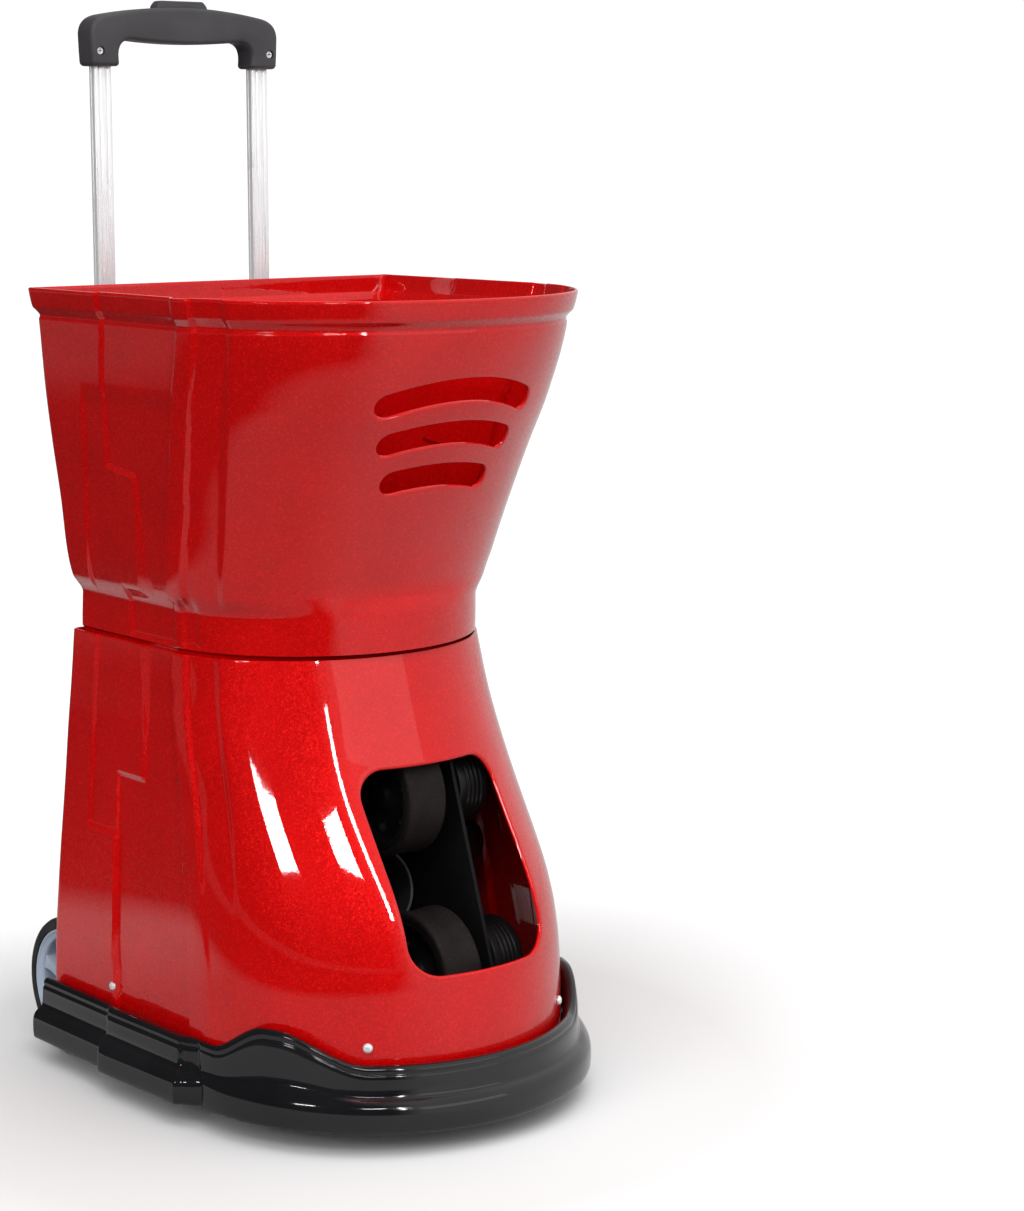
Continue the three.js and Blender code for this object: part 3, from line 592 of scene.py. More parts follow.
# ---- road wheels
def road_wheels():
    rim, r = ROAD_RADIUS - 11, ROAD_RADIUS
    x0, x1 = ROAD_X0, ROAD_X1
    tread = [(rim + .3, x0 + .2), (r - 5, x0 + .2), (r - 1.4, x0 + 2), (r, x0 + 5)]
    for g in (x0 + 8.5, x0 + 14, x0 + 19.5):
        tread += [(r, g - 1.2), (r - 1.6, g - .8), (r - 1.6, g + .8), (r, g + 1.2)]
    tread += [(r, x1 - 5), (r - 1.4, x1 - 2), (r - 5, x1 - .2), (rim + .3, x1 - .2)]
    ring = [(rim - 9, x0 + 4), (rim - 8, x0 + 2), (rim, x0 + 1.6), (rim, x1 - 1.6), (rim - 2, x1 - .8),
            (rim - 4, x1 - 2.6), (rim - 8, x1 - 4), (rim - 9, x1 - 6)]
    boss = [(5.4, x0 + 1), (15, x0 + 1), (15, x1 - 3), (13.5, x1 - 1), (8, x1 - 1), (5.4, x1 - 2.5)]
    parts = [turned_mesh("x", rounded(boss, .8), 48, AXLE_AT)]
    edge = [(6.5, 11), (4.6, 18), (4.2, rim - 20), (6, rim - 12), (9.5, rim - 6.5)]
    for k in range(5):
        verts, faces = prism_mesh("x", edge + [(-u, v) for u, v in edge[::-1]], x0 + 6, x1 - 6)
        parts.append((turned_about_x(verts, k * 2 * pi / 5, AXLE_AT), faces))
    for side, sign in SIDES:
        def outwards(points, flip=np.array([sign, 1, 1])):
            return np.asarray(points) * flip

        body = f"road_wheel_{side}"
        turned(f"tyre_{side}", "x", tread, "tyre_rubber", body, f"road_tyre_{side}", AXLE_AT, 96, .5, outwards)
        hub = turned(f"hub_{side}", "x", ring, "hub_plastic", body, f"road_hub_{side}", AXLE_AT, 96, .8,
                     outwards)
        combine(hub, parts, "UNION", 30, outwards)
        bevel(hub, 1.0, 2, 35, 40)
    axle = [(0, -x1 - 1), (4.2, -x1 - 1), (5, -x1), (5, x1), (4.2, x1 + 1), (0, x1 + 1)]
    turned("axle", "x", axle, "bright_steel", "base", "road_axle", AXLE_AT, 40, .3)


# ---- throwing head
def throw_wheels():
    r, half, hub_r = THROW_RADIUS, THROW_HALF, THROW_RADIUS - 8
    tread = [(hub_r + .3, -half), (r - 2.2, -half), (r - .4, -half + 2.4), (r - 1.4, -7), (r - 1.8, 0),
             (r - 1.4, 7), (r - .4, half - 2.4), (r - 2.2, half), (hub_r + .3, half)]
    web = [(0, -14), (9, -14), (12, -10), (20, -5), (40, -4), (44, -6), (45, 1 - half), (hub_r, 1 - half)]
    boss = [(hub_r, half - 1), (45, half - 1), (44, 6), (40, 4), (22, 4), (20, 7), (20, 34), (18.5, 36),
            (18.5, 37.5), (20, 38.5), (20, 43), (6, 43), (6, 50), (0, 50)]
    hole = [(0, -30), (6, -30), (6, 12), (0, 12)]
    hole_ring = 32
    angles = [k * pi / 3 for k in range(6)]
    for name, sign in (("upper", 1), ("lower", -1)):
        at = (0, 0, sign * THROW_OFFSET)
        body = f"{name}_throw_wheel"
        turned(f"{name}_tread", "x", tread, "throw_rubber", body, f"{name}_throw_tread", at, 128, 1.5, in_head)
        hub = turned(f"{name}_hub", "x", web + boss, "dark_metal", body, f"{name}_throw_hub", at, 96, .8,
                     in_head)
        holes = [turned_mesh("x", hole, 32, (0, hole_ring * cos(a), at[2] + hole_ring * sin(a)))
                 for a in angles]
        combine(hub, holes, angle=30, move=in_head)
        motor(name, at)


def motor(name, at):
    """A can motor: a ribbed body with a rounded end bell and a cable boss."""
    x0 = PLATE_FACE
    profile = [(0, x0), (30, x0), (34, x0 + 1.5), (38, x0 + 2), (38, x0 + 8)]
    for g in range(4):
        x = x0 + 10 + 5 * g
        profile += [(38, x), (36.9, x + .6), (36.9, x + 2), (38, x + 2.6)]
    profile += [(38, x0 + 33), (36, x0 + 36.5), (30, x0 + 39), (14, x0 + 40), (12, x0 + 38.5), (0, x0 + 38.5)]
    turned(f"{name}_motor_can", "x", profile, "motor_black", "head", f"{name}_motor", at, 96, .7, in_head)


def head_details():
    for side, sign in SIDES:
        a, b = sorted((sign * PLATE_FACE, sign * 103))
        profile = [(0, a), (7.2, a), (8, a + 1), (8, b - 1), (7.2, b), (0, b)]
        turned(f"tilt_pin_{side}", "x", profile, "bright_steel", "head", f"trunnion_{side}", (0, *PIVOT), 48,
               .3, in_head)
    guide = [(36.5, 47), (39, 46), (39, 80), (36.5, 80)]
    turned("guide_tube", "y", guide, "black_plastic", "head", "ball_guide", (0, 0, 0), 96, .5, in_head)
    yaw = [(0, 30.3), (34, 30.3), (34, 41.5), (32.5, 44.3), (6, 44.3), (6, 49), (0, 49)]
    turned("yaw_drive", "z", yaw, "motor_black", "base", "yaw_motor", (0, TILT_AXIS[0], 0), 72, .7)
    pitch = [(0, 103.3), (20, 103.3), (20, 127), (16, 130.3), (6, 130.3), (5, 129.4), (0, 129.4)]
    turned("pitch_drive", "x", pitch, "motor_black", "yoke", "pitch_motor", (0, *TILT_AXIS), 64, .8)


# ---- feeder
def feeder():
    z, axis = FEED_Z, (0, FEED_Y, 0)
    rotor = [(0, z), (FEED_RADIUS, z), (FEED_RADIUS, z + 18), (96, z + 19.5), (40, z + 24), (34, z + 27),
             (26, z + 40), (18, z + 46), (10, z + 48), (0, z + 48)]
    disc = turned("feed_rotor", "z", rotor, "feeder_plastic", "feed_disc", "feed_disc", axis, 128, 2.0)
    pocket = [(0, z - 10), (38, z - 10), (38, z + 60), (0, z + 60)]
    cuts = []
    for t in map(radians, (45, 135, 225, 315)):
        spot = (POCKET_RING * cos(t), FEED_Y + POCKET_RING * sin(t), 0)
        cuts.append(turned_mesh("z", pocket, 72, spot))
    cuts.append(turned_mesh("z", [(0, z - 5), (4.4, z - 5), (4.4, 457), (0, 457)], 24, axis))
    combine(disc, cuts, angle=30)
    bevel(disc, 1.6, 3, 40, 35)
    drive = [(0, 384), (15, 384), (19, 388), (19, 410), (18, 411), (18, 413), (19, 414), (19, 437.7),
             (4, 437.7), (4, 456), (0, 456)]
    turned("feed_gearmotor", "z", drive, "bright_steel", "base", "feed_motor", axis, 64, .5)
    funnel()
    chute()


def funnel():
    """A moulded funnel from the hopper's wall down to the round well of the feeder."""
    half, corner, back, front = (float(v) for v in sections(HOPPER, np.array(500.0)))
    count = 144

    def reach(angle, inset):
        """Distance from the feeder's axis to the hopper's inner outline."""
        d = np.array([cos(angle), sin(angle)])
        low, high = 0.0, 400.0
        for _ in range(40):
            mid = (low + high) / 2
            x, y = abs(d[0] * mid), FEED_Y + d[1] * mid
            h, b, f = half - inset, back - inset, front + inset
            if y > corner:
                inside = x < h and y < b and x + y < h + b - BACK_CORNER
            else:
                inside = (x / h) ** 2 + ((corner - y) / (corner - f)) ** 2 < 1
            low, high = (mid, high) if inside else (low, mid)
        return low

    edge = np.array([reach(2 * pi * i / count, WALL + 2.2) for i in range(count)])
    for _ in range(3):
        edge = np.minimum(edge, (np.roll(edge, 1) + edge * 2 + np.roll(edge, -1)) / 4)
    well = FEED_RADIUS + 3
    # height, share of the way from the well to the hopper's wall, thickness
    profile = [(442.4, 0, 0), (458, 0, 0), (466, 0, 0), (470.5, .02, 0), (474.5, .1, 0), (486, .5, 0),
               (497, .9, 0), (499.5, .975, 0), (500, 1, 0), (498.4, .999, 0), (496.4, .97, 0),
               (483.4, .5, 2.5), (472, .1, 2.5), (468, 0, 2.5), (460, 0, 2.5), (442.4, 0, 2.5)]
    a = 2 * pi * np.arange(count) / count
    verts = []
    for z, share, thick in profile:
        r = well + (edge - well) * share + thick
        verts.append(np.column_stack([r * np.cos(a), FEED_Y + r * np.sin(a), np.full(count, z)]))
    add_object("funnel", np.concatenate(verts), ring_faces(len(profile), count), "black_plastic", "base",
               "hopper_funnel", 50)


def chute():
    """The bent tube that takes a ball from the feeder to the throwing wheels."""
    y, bend, exit_y, exit_z, top = FEED_Y + POCKET_RING, 90, -4, 188, 436
    stops = [(y, top, 0.0), (y, top - 4, 0.0)]
    for i in range(25):
        lean = i / 24 * pi / 2
        stops.append((y - bend + bend * cos(lean), exit_z + bend - bend * sin(lean), lean))
    stops.append((exit_y, exit_z, pi / 2))
    turn = 2 * pi * np.arange(48) / 48
    rings = []
    for radius, line in ((38.5, stops), (36, stops[::-1])):
        for sy, sz, lean in line:
            across = radius * np.sin(turn)
            ring = [radius * np.cos(turn), sy + across * cos(lean), sz - across * sin(lean)]
            rings.append(np.stack(ring, -1))
    add_object("chute", np.concatenate(rings), ring_faces(len(rings), len(turn)), "black_plastic", "base",
               "ball_chute", 40)


# ---- handle
GRIP_HALF, GRIP_INNER, GRIP_FOOT = 107.0, 76.0, 947.0


def bend(a, b, c, steps):
    """Points of a quadratic curve, without its last."""
    out = []
    for k in range(steps):
        t = k / steps
        out.append(tuple((1 - t) ** 2 * p + 2 * t * (1 - t) * q + t * t * r for p, q, r in zip(a, b, c)))
    return out


def grip_outline():
    """The grip seen from the front: two legs under a bar that is thickest in its middle."""
    h, g, z = GRIP_HALF, GRIP_INNER, GRIP_FOOT
    foot, shoulder, inner = [(h - 1.5, z), (h - .6, z + 15)], z + 48.5, [(g - .3, z + 5), (g - 1, z)]
    pts = foot + bend((h, z + 30), (h - .5, z + 45), (h - 18, shoulder), 10)
    pts += bend((h - 18, shoulder), (0, z + 65), (18 - h, shoulder), 40)
    pts += bend((18 - h, shoulder), (.5 - h, z + 45), (-h, z + 30), 10)
    pts += [(-h, z + 30)] + [(-x, v) for x, v in foot[::-1] + inner[::-1]]
    pts += bend((-g, z + 10), (-g, z + 25), (15 - g, z + 25), 10)
    pts += bend((15 - g, z + 25), (0, z + 19), (g - 15, z + 25), 40)
    pts += bend((g - 15, z + 25), (g, z + 25), (g, z + 10), 10)
    return [(v, x) for x, v in pts + [(g, z + 10)] + inner]


def grip():
    verts, faces = prism_mesh("y", grip_outline(), HANDLE_Y - 14, HANDLE_Y + 14)
    obj = add_object("grip", verts, faces, "grip_plastic", "handle", "handle_grip", 35)
    bevel(obj, 6.5, 6, 35, 50)
    cuts = [box_mesh(s * 90 - 9.9, s * 90 + 9.9, HANDLE_Y - 5.9, HANDLE_Y + 5.9, 900, 960.5) for s in (-1, 1)]
    cuts.append(box_mesh(-30, 30, HANDLE_Y - 8, HANDLE_Y + 8, 997, 1030))
    hole = [(0, 225), (4.4, 225), (4.4, 234.5), (0, 234.5)]
    cuts += [turned_mesh("y", hole, 32, (s * 97, 0, 961)) for s in (-1, 1)]
    combine(obj, cuts, angle=35)
    head = [(0, 234.4), (1.2, 233.6), (2.8, 233.4), (3.6, 234), (3.9, 235), (3.9, 238), (0, 238)]
    for side, s in SIDES:
        screw = turned(f"grip_screw_{side}", "y", head, "screw_steel", "handle", None, (s * 97, 0, 961), 40,
                       .2)
        combine(screw, cross_mesh(s * 97, 961, 230, 234.6, 2.4, .4), angle=30)


def handle_rods():
    """Extruded rods with two lengthwise grooves in each wide face and one in each narrow one."""
    right = [(9.5, -4.2), (9.5, -1.6), (8.9, -1.2), (8.9, 1.2), (9.5, 1.6), (9.5, 4.2)]
    top = [(8.2, 5.5), (5, 5.5), (4.6, 4.9), (3.2, 4.9), (2.8, 5.5)]
    half = right + top + [(-x, y) for x, y in top[::-1]]
    outline = half + [(-x, -y) for x, y in half]
    for side, s in SIDES:
        pts = [(x + s * HANDLE_X, y + HANDLE_Y) for x, y in outline]
        prism(f"rod_{side}", "z", pts, 600, 960, .35, "brushed_aluminium", "handle", f"handle_rod_{side}")


def release_button():
    right = [(1004, 28.6), (1006, 27.6), (1009.2, 24.6), (1010, 23)]
    side = [(1001, -28.8), (1001, 28.8)] + right + [(z, -x) for z, x in right[::-1]]
    prism("button", "y", side, HANDLE_Y - 7, HANDLE_Y + 7, 1.2, "grip_plastic", "release_button",
          "release_button", angle=40)


# ---- rear panel
# name, x, height over the panel's lower edge, radius, material
KEYS = (("run_button", 0, 28, 8, "key_green"), ("speed_up_button", -30, 34, 5.5, "key_grey"),
        ("speed_down_button", -30, 18, 5.5, "key_grey"), ("angle_up_button", 30, 34, 5.5, "key_grey"),
        ("angle_down_button", 30, 18, 5.5, "key_grey"))


def plate(name, x0, x1, z0, z1, r, low, high, edge, replaces, steps=6, angle=32):
    """A round-cornered plate on the sloping back of the housing."""
    face = [(z, x) for x, z in rect(x0, x1, z0, z1, r, steps)]
    return prism(name, "y", face, low, high, edge, "black_plastic", "base", replaces, on_rear, angle)


def rear_panel():
    cover = plate("cover", -74, 74, -105, 105, 8, .3, 3.3, 0, "rear_cover")
    rocker_hole = box_mesh(-8, 8, -5, 20, -63.5, -40.5)
    slats = [box_mesh(-60, 60, 2.2, 5, -92 + 5 * k, -90 + 5 * k) for k in range(5)]
    socket_hole = turned_mesh("y", [(0, -5), (7, -5), (7, 20), (0, 20)], 48, (32, 0, -52))
    combine(cover, [rocker_hole, *slats, socket_hole], angle=30, move=on_rear)
    bevel(cover, .7, 3, 35, 40)
    panel = plate("panel", -52, 52, 4, 92, 7, 3.6, 13.6, 1.8, "control_panel", 8, 40)
    cuts = [box_mesh(-34, 34, 10.6, 30, 52, 82)]
    for _, x, z, r, _ in KEYS:
        well = [(0, 6.4), (r + .5, 6.4), (r + .5, 12.6), (r + 2, 14), (r + 2, 30), (0, 30)]
        cuts.append(turned_mesh("y", rounded(well, .3), 48, (x, 0, z)))
    combine(panel, cuts, angle=35, move=on_rear)
    for name, x, z, r, material in KEYS:
        key = [(0, 8.6), (r, 8.6), (r, 14.4), (r - 1.4, 15.8), (r * .5, 15.5), (0, 15.3)]
        turned(f"key_{name}", "y", key, material, name, name, (x, 0, z), 48, .6, on_rear)
    marks()
    bezel = plate("bezel", -11, 11, -67, -37, 3, 3.6, 6.4, 0, "switch_bezel")
    combine(bezel, [rocker_hole], angle=30, move=on_rear)
    bevel(bezel, .8, 3, 35, 40)
    socket = [(4, -4), (6.6, -4), (6.6, 3.6), (9, 3.6), (9, 6.6), (8.2, 8), (5, 8), (4.2, 7), (4, 6)]
    turned("socket", "y", socket, "bright_steel", "base", "charge_socket", (32, 0, -52), 64, .3, on_rear)
    head = [(0, 3.3), (3.6, 3.3), (3.2, 4.8), (1.6, 5.4), (0, 5.5)]
    for k, (x, z) in enumerate(((-66, -97), (66, -97), (-66, 97), (66, 97))):
        screw = turned(f"cover_screw_{k}", "y", head, "screw_steel", "base", None, (x, 0, z), 40, .2, on_rear)
        combine(screw, cross_mesh(x, z, 4.6, 6, 2, .4), angle=30, move=on_rear)


def marks():
    """Raised pointers beside the keys: plain arrowheads up and down, and a bar over the run key."""
    for k, (x, z, way) in enumerate(((-42, 34, 1), (-42, 18, -1), (42, 34, 1), (42, 18, -1))):
        tri = [(z - 2.2 * way, x - 2.6), (z - 2.2 * way, x + 2.6), (z + 2.2 * way, x)]
        prism(f"pointer_{k}", "y", tri, 13.5, 14, 0, "key_grey", "base", None, on_rear)
    bar = [(z, x) for x, z in rect(-5, 5, 40.2, 41.8, .7)]
    prism("run_mark", "y", bar, 13.5, 14, 0, "key_green", "base", None, on_rear)


# ---- screws in the housing
def housing_screws():
    """Two screws in the housing's front and one in each side, square to its surface."""
    z, x = 92.0, 110
    half, corner, _, front = (float(v) for v in sections(HOUSING, np.array(z)))
    y = corner - (corner - front) * sqrt(1 - (x / half) ** 2)
    # name, x, y, and the way out of the surface there
    spots = (("front", x, y, x / half ** 2, (y - corner) / (corner - front) ** 2),
             ("side", half - 1.6, 112, 1, 0))
    dome = [(0, -9), (2, -9), (2, .2), (4.5, .2), (4.3, 1.6), (3.2, 2.9), (1.6, 3.5), (0, 3.6)]
    tools = [box_mesh(-a, a, -b, b, 2, 5) for a, b in ((.5, 2.2), (2.2, .5))]
    for spot, x, y, out_x, out_y in spots:
        for side, sign in SIDES:
            out = Vector((sign * out_x, out_y, 0))
            turn = np.array(Vector((0, 0, 1)).rotation_difference(out).to_matrix())

            def place(points, turn=turn, at=np.array([sign * x, y, z])):
                return np.asarray(points, float) @ turn.T + at

            name = f"screw_{spot}_{side}"
            screw = turned(name, "z", dome, "screw_steel", "base", f"housing_{name}", (0, 0, 0), 48, .2, place)
            combine(screw, tools, angle=30, move=place)


# ---- materials
LOOKS = {}


def look(name):
    """A new material of that name, and shorthands for building its nodes."""
    LOOKS[name] = bpy.data.materials.new(f"{name}_look")
    return Graph(LOOKS[name])


class Graph:
    """Shorthands for building the nodes of a material or of the world."""

    def __init__(self, block, coords="Object"):
        block.use_nodes = True
        self.tree = block.node_tree
        self.bsdf = self.tree.nodes.get("Principled BSDF")
        self.place = self.node("ShaderNodeTexCoord").outputs[coords]

    def put(self, socket, value):
        """Links an output to the socket, or sets its value."""
        if isinstance(value, bpy.types.NodeSocket):
            self.tree.links.new(value, socket)
        else:
            is_rgb = socket.type == "RGBA" and len(value) == 3
            socket.default_value = (*value, 1) if is_rgb else value

    def node(self, kind, inputs=(), **settings):
        node = self.tree.nodes.new(kind)
        for key, value in settings.items():
            setattr(node, key, value)
        for key, value in dict(inputs).items():
            self.put(node.inputs[key], value)
        return node

    def stretch(self, x, y, z):
        return self.node("ShaderNodeMapping", {"Vector": self.place, "Scale": (x, y, z)}).outputs["Vector"]

    def noise(self, scale, detail=2.0, rough=0.5, vector=None):
        inputs = {"Vector": vector or self.place, "Scale": scale, "Detail": detail, "Roughness": rough}
        return self.node("ShaderNodeTexNoise", inputs).outputs["Fac"]

    def cells(self, out="Color", **inputs):
        return self.node("ShaderNodeTexVoronoi", {"Vector": self.place, **inputs}).outputs[out]

    def range(self, value, low, high, to_low, to_high):
        return self.node("ShaderNodeMapRange", {0: value, 1: low, 2: high, 3: to_low, 4: to_high}).outputs[0]

    def maths(self, operation, a, b):
        return self.node("ShaderNodeMath", {0: a, 1: b}, operation=operation).outputs[0]

    def vector(self, operation, inputs, out="Vector"):
        return self.node("ShaderNodeVectorMath", inputs, operation=operation).outputs[out]

    def mix(self, share, a, b):
        return self.node("ShaderNodeMix", {0: share, 6: a, 7: b}, data_type="RGBA").outputs[2]

    def cloudy(self, dark, light, scale, detail, low=0.35, high=0.65, **noise):
        """Two colours in soft patches."""
        return self.mix(self.range(self.noise(scale, detail, **noise), low, high, 0, 1), dark, light)

    def bump(self, height, strength, distance):
        inputs = {"Height": height, "Strength": strength, "Distance": distance}
        return self.node("ShaderNodeBump", inputs).outputs["Normal"]

    def worn_edges(self, low=0.52, high=0.62):
        """1 along convex edges, broken up by noise."""
        pointy = self.node("ShaderNodeNewGeometry").outputs["Pointiness"]
        edge = self.range(pointy, low, high, 0, 1)
        return self.maths("MULTIPLY", edge, self.range(self.noise(60, 4), 0.4, 0.65, 0.2, 1))

    def finish(self, colour, rough, normal=None, **plain):
        inputs = {"Base Color": colour, "Roughness": rough}
        if normal:
            inputs["Normal"] = normal
        for key, value in plain.items():
            inputs[key.replace("_", " ")] = value
        for key, value in inputs.items():
            self.put(self.bsdf.inputs[key], value)

    def camera_sees(self, seen, other, output):
        """The camera sees the one shader, and all other rays meet the other."""
        ray = self.node("ShaderNodeLightPath").outputs["Is Camera Ray"]
        shader = self.node("ShaderNodeMixShader", {0: ray, 1: other.outputs[0], 2: seen.outputs[0]})
        self.put(self.tree.nodes[output].inputs["Surface"], shader.outputs[0])


def red_paint():
    """Deep red with a fine metal flake under a thick clear coat."""
    g = look("red_paint")
    flakes = g.cells(Scale=820)
    sparkle = g.node("ShaderNodeSeparateColor", {"Color": flakes})
    glint = g.range(sparkle.outputs[0], 0.7, 1.0, 0, 0.42)
    deep = g.cloudy((0.45, 0.0005, 0.0008), (0.50, 0.0008, 0.0012), 14, 3)
    colour = g.mix(glint, deep, (0.80, 0.008, 0.004))
    tilt = g.vector("SUBTRACT", {0: flakes, 1: (0.5, 0.5, 0.5)})
    small = g.vector("SCALE", {0: tilt, "Scale": 0.26})
    geometry = g.node("ShaderNodeNewGeometry").outputs["Normal"]
    normal = g.vector("NORMALIZE", {0: g.vector("ADD", {0: geometry, 1: small})})
    rough = g.range(g.noise(5, 4), 0.3, 0.7, 0.30, 0.40)
    g.finish(colour, rough, normal, Metallic=0.22, Coat_Weight=1.0, Coat_Roughness=0.03, Coat_IOR=1.5,
             Specular_IOR_Level=0.04, Coat_Normal=g.bump(g.noise(220, 2), 0.03, 0.0004))


def gloss_black():
    g = look("gloss_black")
    colour = g.cloudy((0.003, 0.003, 0.0036), (0.006, 0.006, 0.007), 9, 4, 0.4)
    scratch = g.noise(40, 6, 0.7, g.stretch(1, 1, 14))
    rough = g.range(scratch, 0.45, 0.75, 0.08, 0.17)
    g.finish(colour, rough, g.bump(g.noise(160, 2), 0.04, 0.0004), Coat_Weight=0.4, Coat_Roughness=0.04)


def moulded(name, dark, light, rough, grain, scale, wear, gloss=0.5):
    """A moulded plastic with a fine grain, faint mottling and paler edges."""
    g = look(name)
    worn = g.mix(g.worn_edges(), g.cloudy(dark, light, 18, 5), wear)
    spread = g.range(g.noise(26, 4), 0.3, 0.7, rough - 0.07, rough + 0.08)
    g.finish(worn, spread, g.bump(g.noise(scale, 3, 0.6), grain, 0.0003), Specular_IOR_Level=gloss)


def rubber(name, dark, light, rough, lint=0.0, gloss=0.5):
    """A matt rubber, with ball fluff on it if there's lint."""
    g = look(name)
    colour = g.cloudy(dark, light, 34, 6, 0.35, 0.7, rough=0.65)
    if lint:
        fluff = g.range(g.noise(420, 3, 0.7), 0.6, 0.75, 0, lint)
        colour = g.mix(fluff, colour, (0.42, 0.46, 0.12))
    spread = g.range(g.noise(50, 4), 0.3, 0.7, rough - 0.12, rough + 0.1)
    g.finish(colour, spread, g.bump(g.noise(700, 4, 0.7), 0.25, 0.0004), Specular_IOR_Level=gloss)


def metal(name, colour, rough, along, grain, scale, shine):
    """A metal with fine lines along one way, faint smudges and brighter edges."""
    g = look(name)
    lines = g.noise(scale, 3, 0.6, g.stretch(*along))
    shade = tuple(c * 0.82 for c in colour)
    base = g.mix(g.range(lines, 0.35, 0.65, 0, 1), shade, colour)
    base = g.mix(g.maths("MULTIPLY", g.worn_edges(), 0.6), base, tuple(min(1, c * 1.35) for c in colour))
    spread = g.maths("ADD", g.range(g.noise(12, 5), 0.35, 0.7, rough - 0.05, rough + 0.08),
                     g.range(lines, 0.3, 0.7, -0.03, 0.05))
    g.finish(base, spread, g.bump(lines, grain, 0.0002), Metallic=shine)


def powder_coat(name, colour, rough=0.5):
    """A dull, grainy paint with paler edges."""
    g = look(name)
    base = g.cloudy(colour, tuple(c * 1.5 for c in colour), 24, 4)
    base = g.mix(g.maths("MULTIPLY", g.worn_edges(0.54, 0.66), 0.35), base, (0.12, 0.12, 0.125))
    g.finish(base, g.range(g.noise(40, 3), 0.3, 0.7, rough - 0.08, rough + 0.1),
             g.bump(g.noise(480, 2), 0.22, 0.0004), Metallic=0.1, Specular_IOR_Level=0.2)


def display_glass():
    """A dark backlit window with a grid of faint dots."""
    g = look("display_glass")
    dots = g.cells("Distance", Scale=420.0, Randomness=0.0)
    lit = g.range(dots, 0.18, 0.26, 1, 0)
    colour = g.mix(lit, (0.004, 0.009, 0.012), (0.01, 0.05, 0.06))
    g.finish(colour, g.range(g.noise(30, 3), 0.3, 0.7, 0.05, 0.14), Coat_Weight=1.0, Coat_Roughness=0.03)


def circuit_board():
    g = look("circuit_board")
    brick = g.node("ShaderNodeTexBrick", {"Vector": g.stretch(1, 1, 1), "Scale": 90.0, "Mortar Size": 0.08,
                                          "Color1": (0.01, 0.10, 0.035), "Color2": (0.012, 0.12, 0.045),
                                          "Mortar": (0.35, 0.2, 0.06)}).outputs["Color"]
    g.finish(brick, g.range(g.noise(60, 3), 0.3, 0.7, 0.35, 0.55),
             g.bump(g.cells("Distance", Scale=300), 0.2, 0.0003))


# name, dark, light, roughness, grain, scale of the grain, worn edges, gloss
PLASTICS = (
    ("black_plastic", (0.012, 0.012, 0.013), (0.02, 0.02, 0.021), 0.48, 0.22, 900, (0.05, 0.05, 0.05)),
    ("grip_plastic", (0.030, 0.028, 0.032), (0.042, 0.040, 0.045), 0.52, 0.3, 1100, (0.075, 0.07, 0.08)),
    ("feeder_plastic", (0.045, 0.047, 0.05), (0.06, 0.062, 0.066), 0.4, 0.12, 600, (0.12, 0.12, 0.125)),
    ("hub_plastic", (0.26, 0.31, 0.39), (0.31, 0.36, 0.44), 0.4, 0.08, 500, (0.45, 0.5, 0.58)),
    ("motor_black", (0.004, 0.004, 0.0045), (0.008, 0.008, 0.008), 0.34, 0.1, 500, (0.03, 0.03, 0.03), 0.3),
    ("key_grey", (0.58, 0.59, 0.6), (0.66, 0.67, 0.68), 0.4, 0.1, 900, (0.8, 0.8, 0.8)),
    ("key_green", (0.02, 0.22, 0.05), (0.03, 0.28, 0.07), 0.36, 0.1, 900, (0.1, 0.45, 0.15)),
    ("rocker_red", (0.36, 0.01, 0.01), (0.45, 0.014, 0.014), 0.32, 0.08, 900, (0.7, 0.1, 0.08)))


def materials():
    red_paint()
    gloss_black()
    for plastic in PLASTICS:
        moulded(*plastic)
    rubber("tyre_rubber", (0.010, 0.010, 0.011), (0.020, 0.0195, 0.019), 0.72)
    rubber("foot_rubber", (0.014, 0.014, 0.015), (0.026, 0.025, 0.025), 0.85)
    rubber("throw_rubber", (0.007, 0.005, 0.005), (0.011, 0.008, 0.008), 0.62, lint=0.05, gloss=0.15)
    metal("brushed_aluminium", (0.90, 0.905, 0.92), 0.3, (1, 1, 0.02), 0.05, 900, 0.5)
    metal("bright_steel", (0.52, 0.53, 0.55), 0.32, (1, 1, 1), 0.05, 260, 1.0)
    metal("screw_steel", (0.88, 0.89, 0.91), 0.22, (1, 1, 1), 0.04, 600, 0.5)
    powder_coat("dark_metal", (0.005, 0.005, 0.0055))
    display_glass()
    circuit_board()


# ---- CAD nodes that stay, with their edges eased
# material: its nodes, each with the width of its bevels in mm
KEPT = {
    "dark_metal": {"base_plate": 1.0, "handle_bridge_lower": 1.2, "handle_bridge_upper": 1.2, "yoke": 1.0,
                   "head_plate_left": 0.8, "head_plate_right": 0.8},
    "bright_steel": {"axle_bracket_left": 0.6, "axle_bracket_right": 0.6, "head_crossbar_upper": 0.6,
                     "head_crossbar_lower": 0.6},
    "brushed_aluminium": {"handle_tube_left": 0.5, "handle_tube_right": 0.5},
    "black_plastic": {"feed_pan": 0.5, "battery": 2.5},
    "display_glass": {"display_window": 0.3},
    "circuit_board": {"control_board": 0.3},
    "rocker_red": {"power_rocker": 0.6},
}


def ease_kept_nodes():
    for material, widths in KEPT.items():
        for name, width in widths.items():
            node = NODES[name]
            node.data.materials.clear()
            node.data.materials.append(LOOKS[material])
            node.modifiers.new("weld", "WELD").merge_threshold = 1e-5
            bevel_modifier(node, width, 3, 32, harden=True)


# ---- stage
WHITE = (1, 1, 1)
BRIGHT_WAY = (cos(radians(20)), -sin(radians(20)), 0)  # towards the studio's pale side
FLOOR_HALF = 14  # metres
PAINTED_LIGHT_FLOOR = 0.42  # the grey of the floor's bright side in the paint: painted light
SUN_SPREAD = 60
# name, power, tilt about x, turn about z
SUNS = (("overhead", 2.1, 12, 0), ("fill", 2.15, 62, -66), ("right_fill", 0.75, 62, 40))
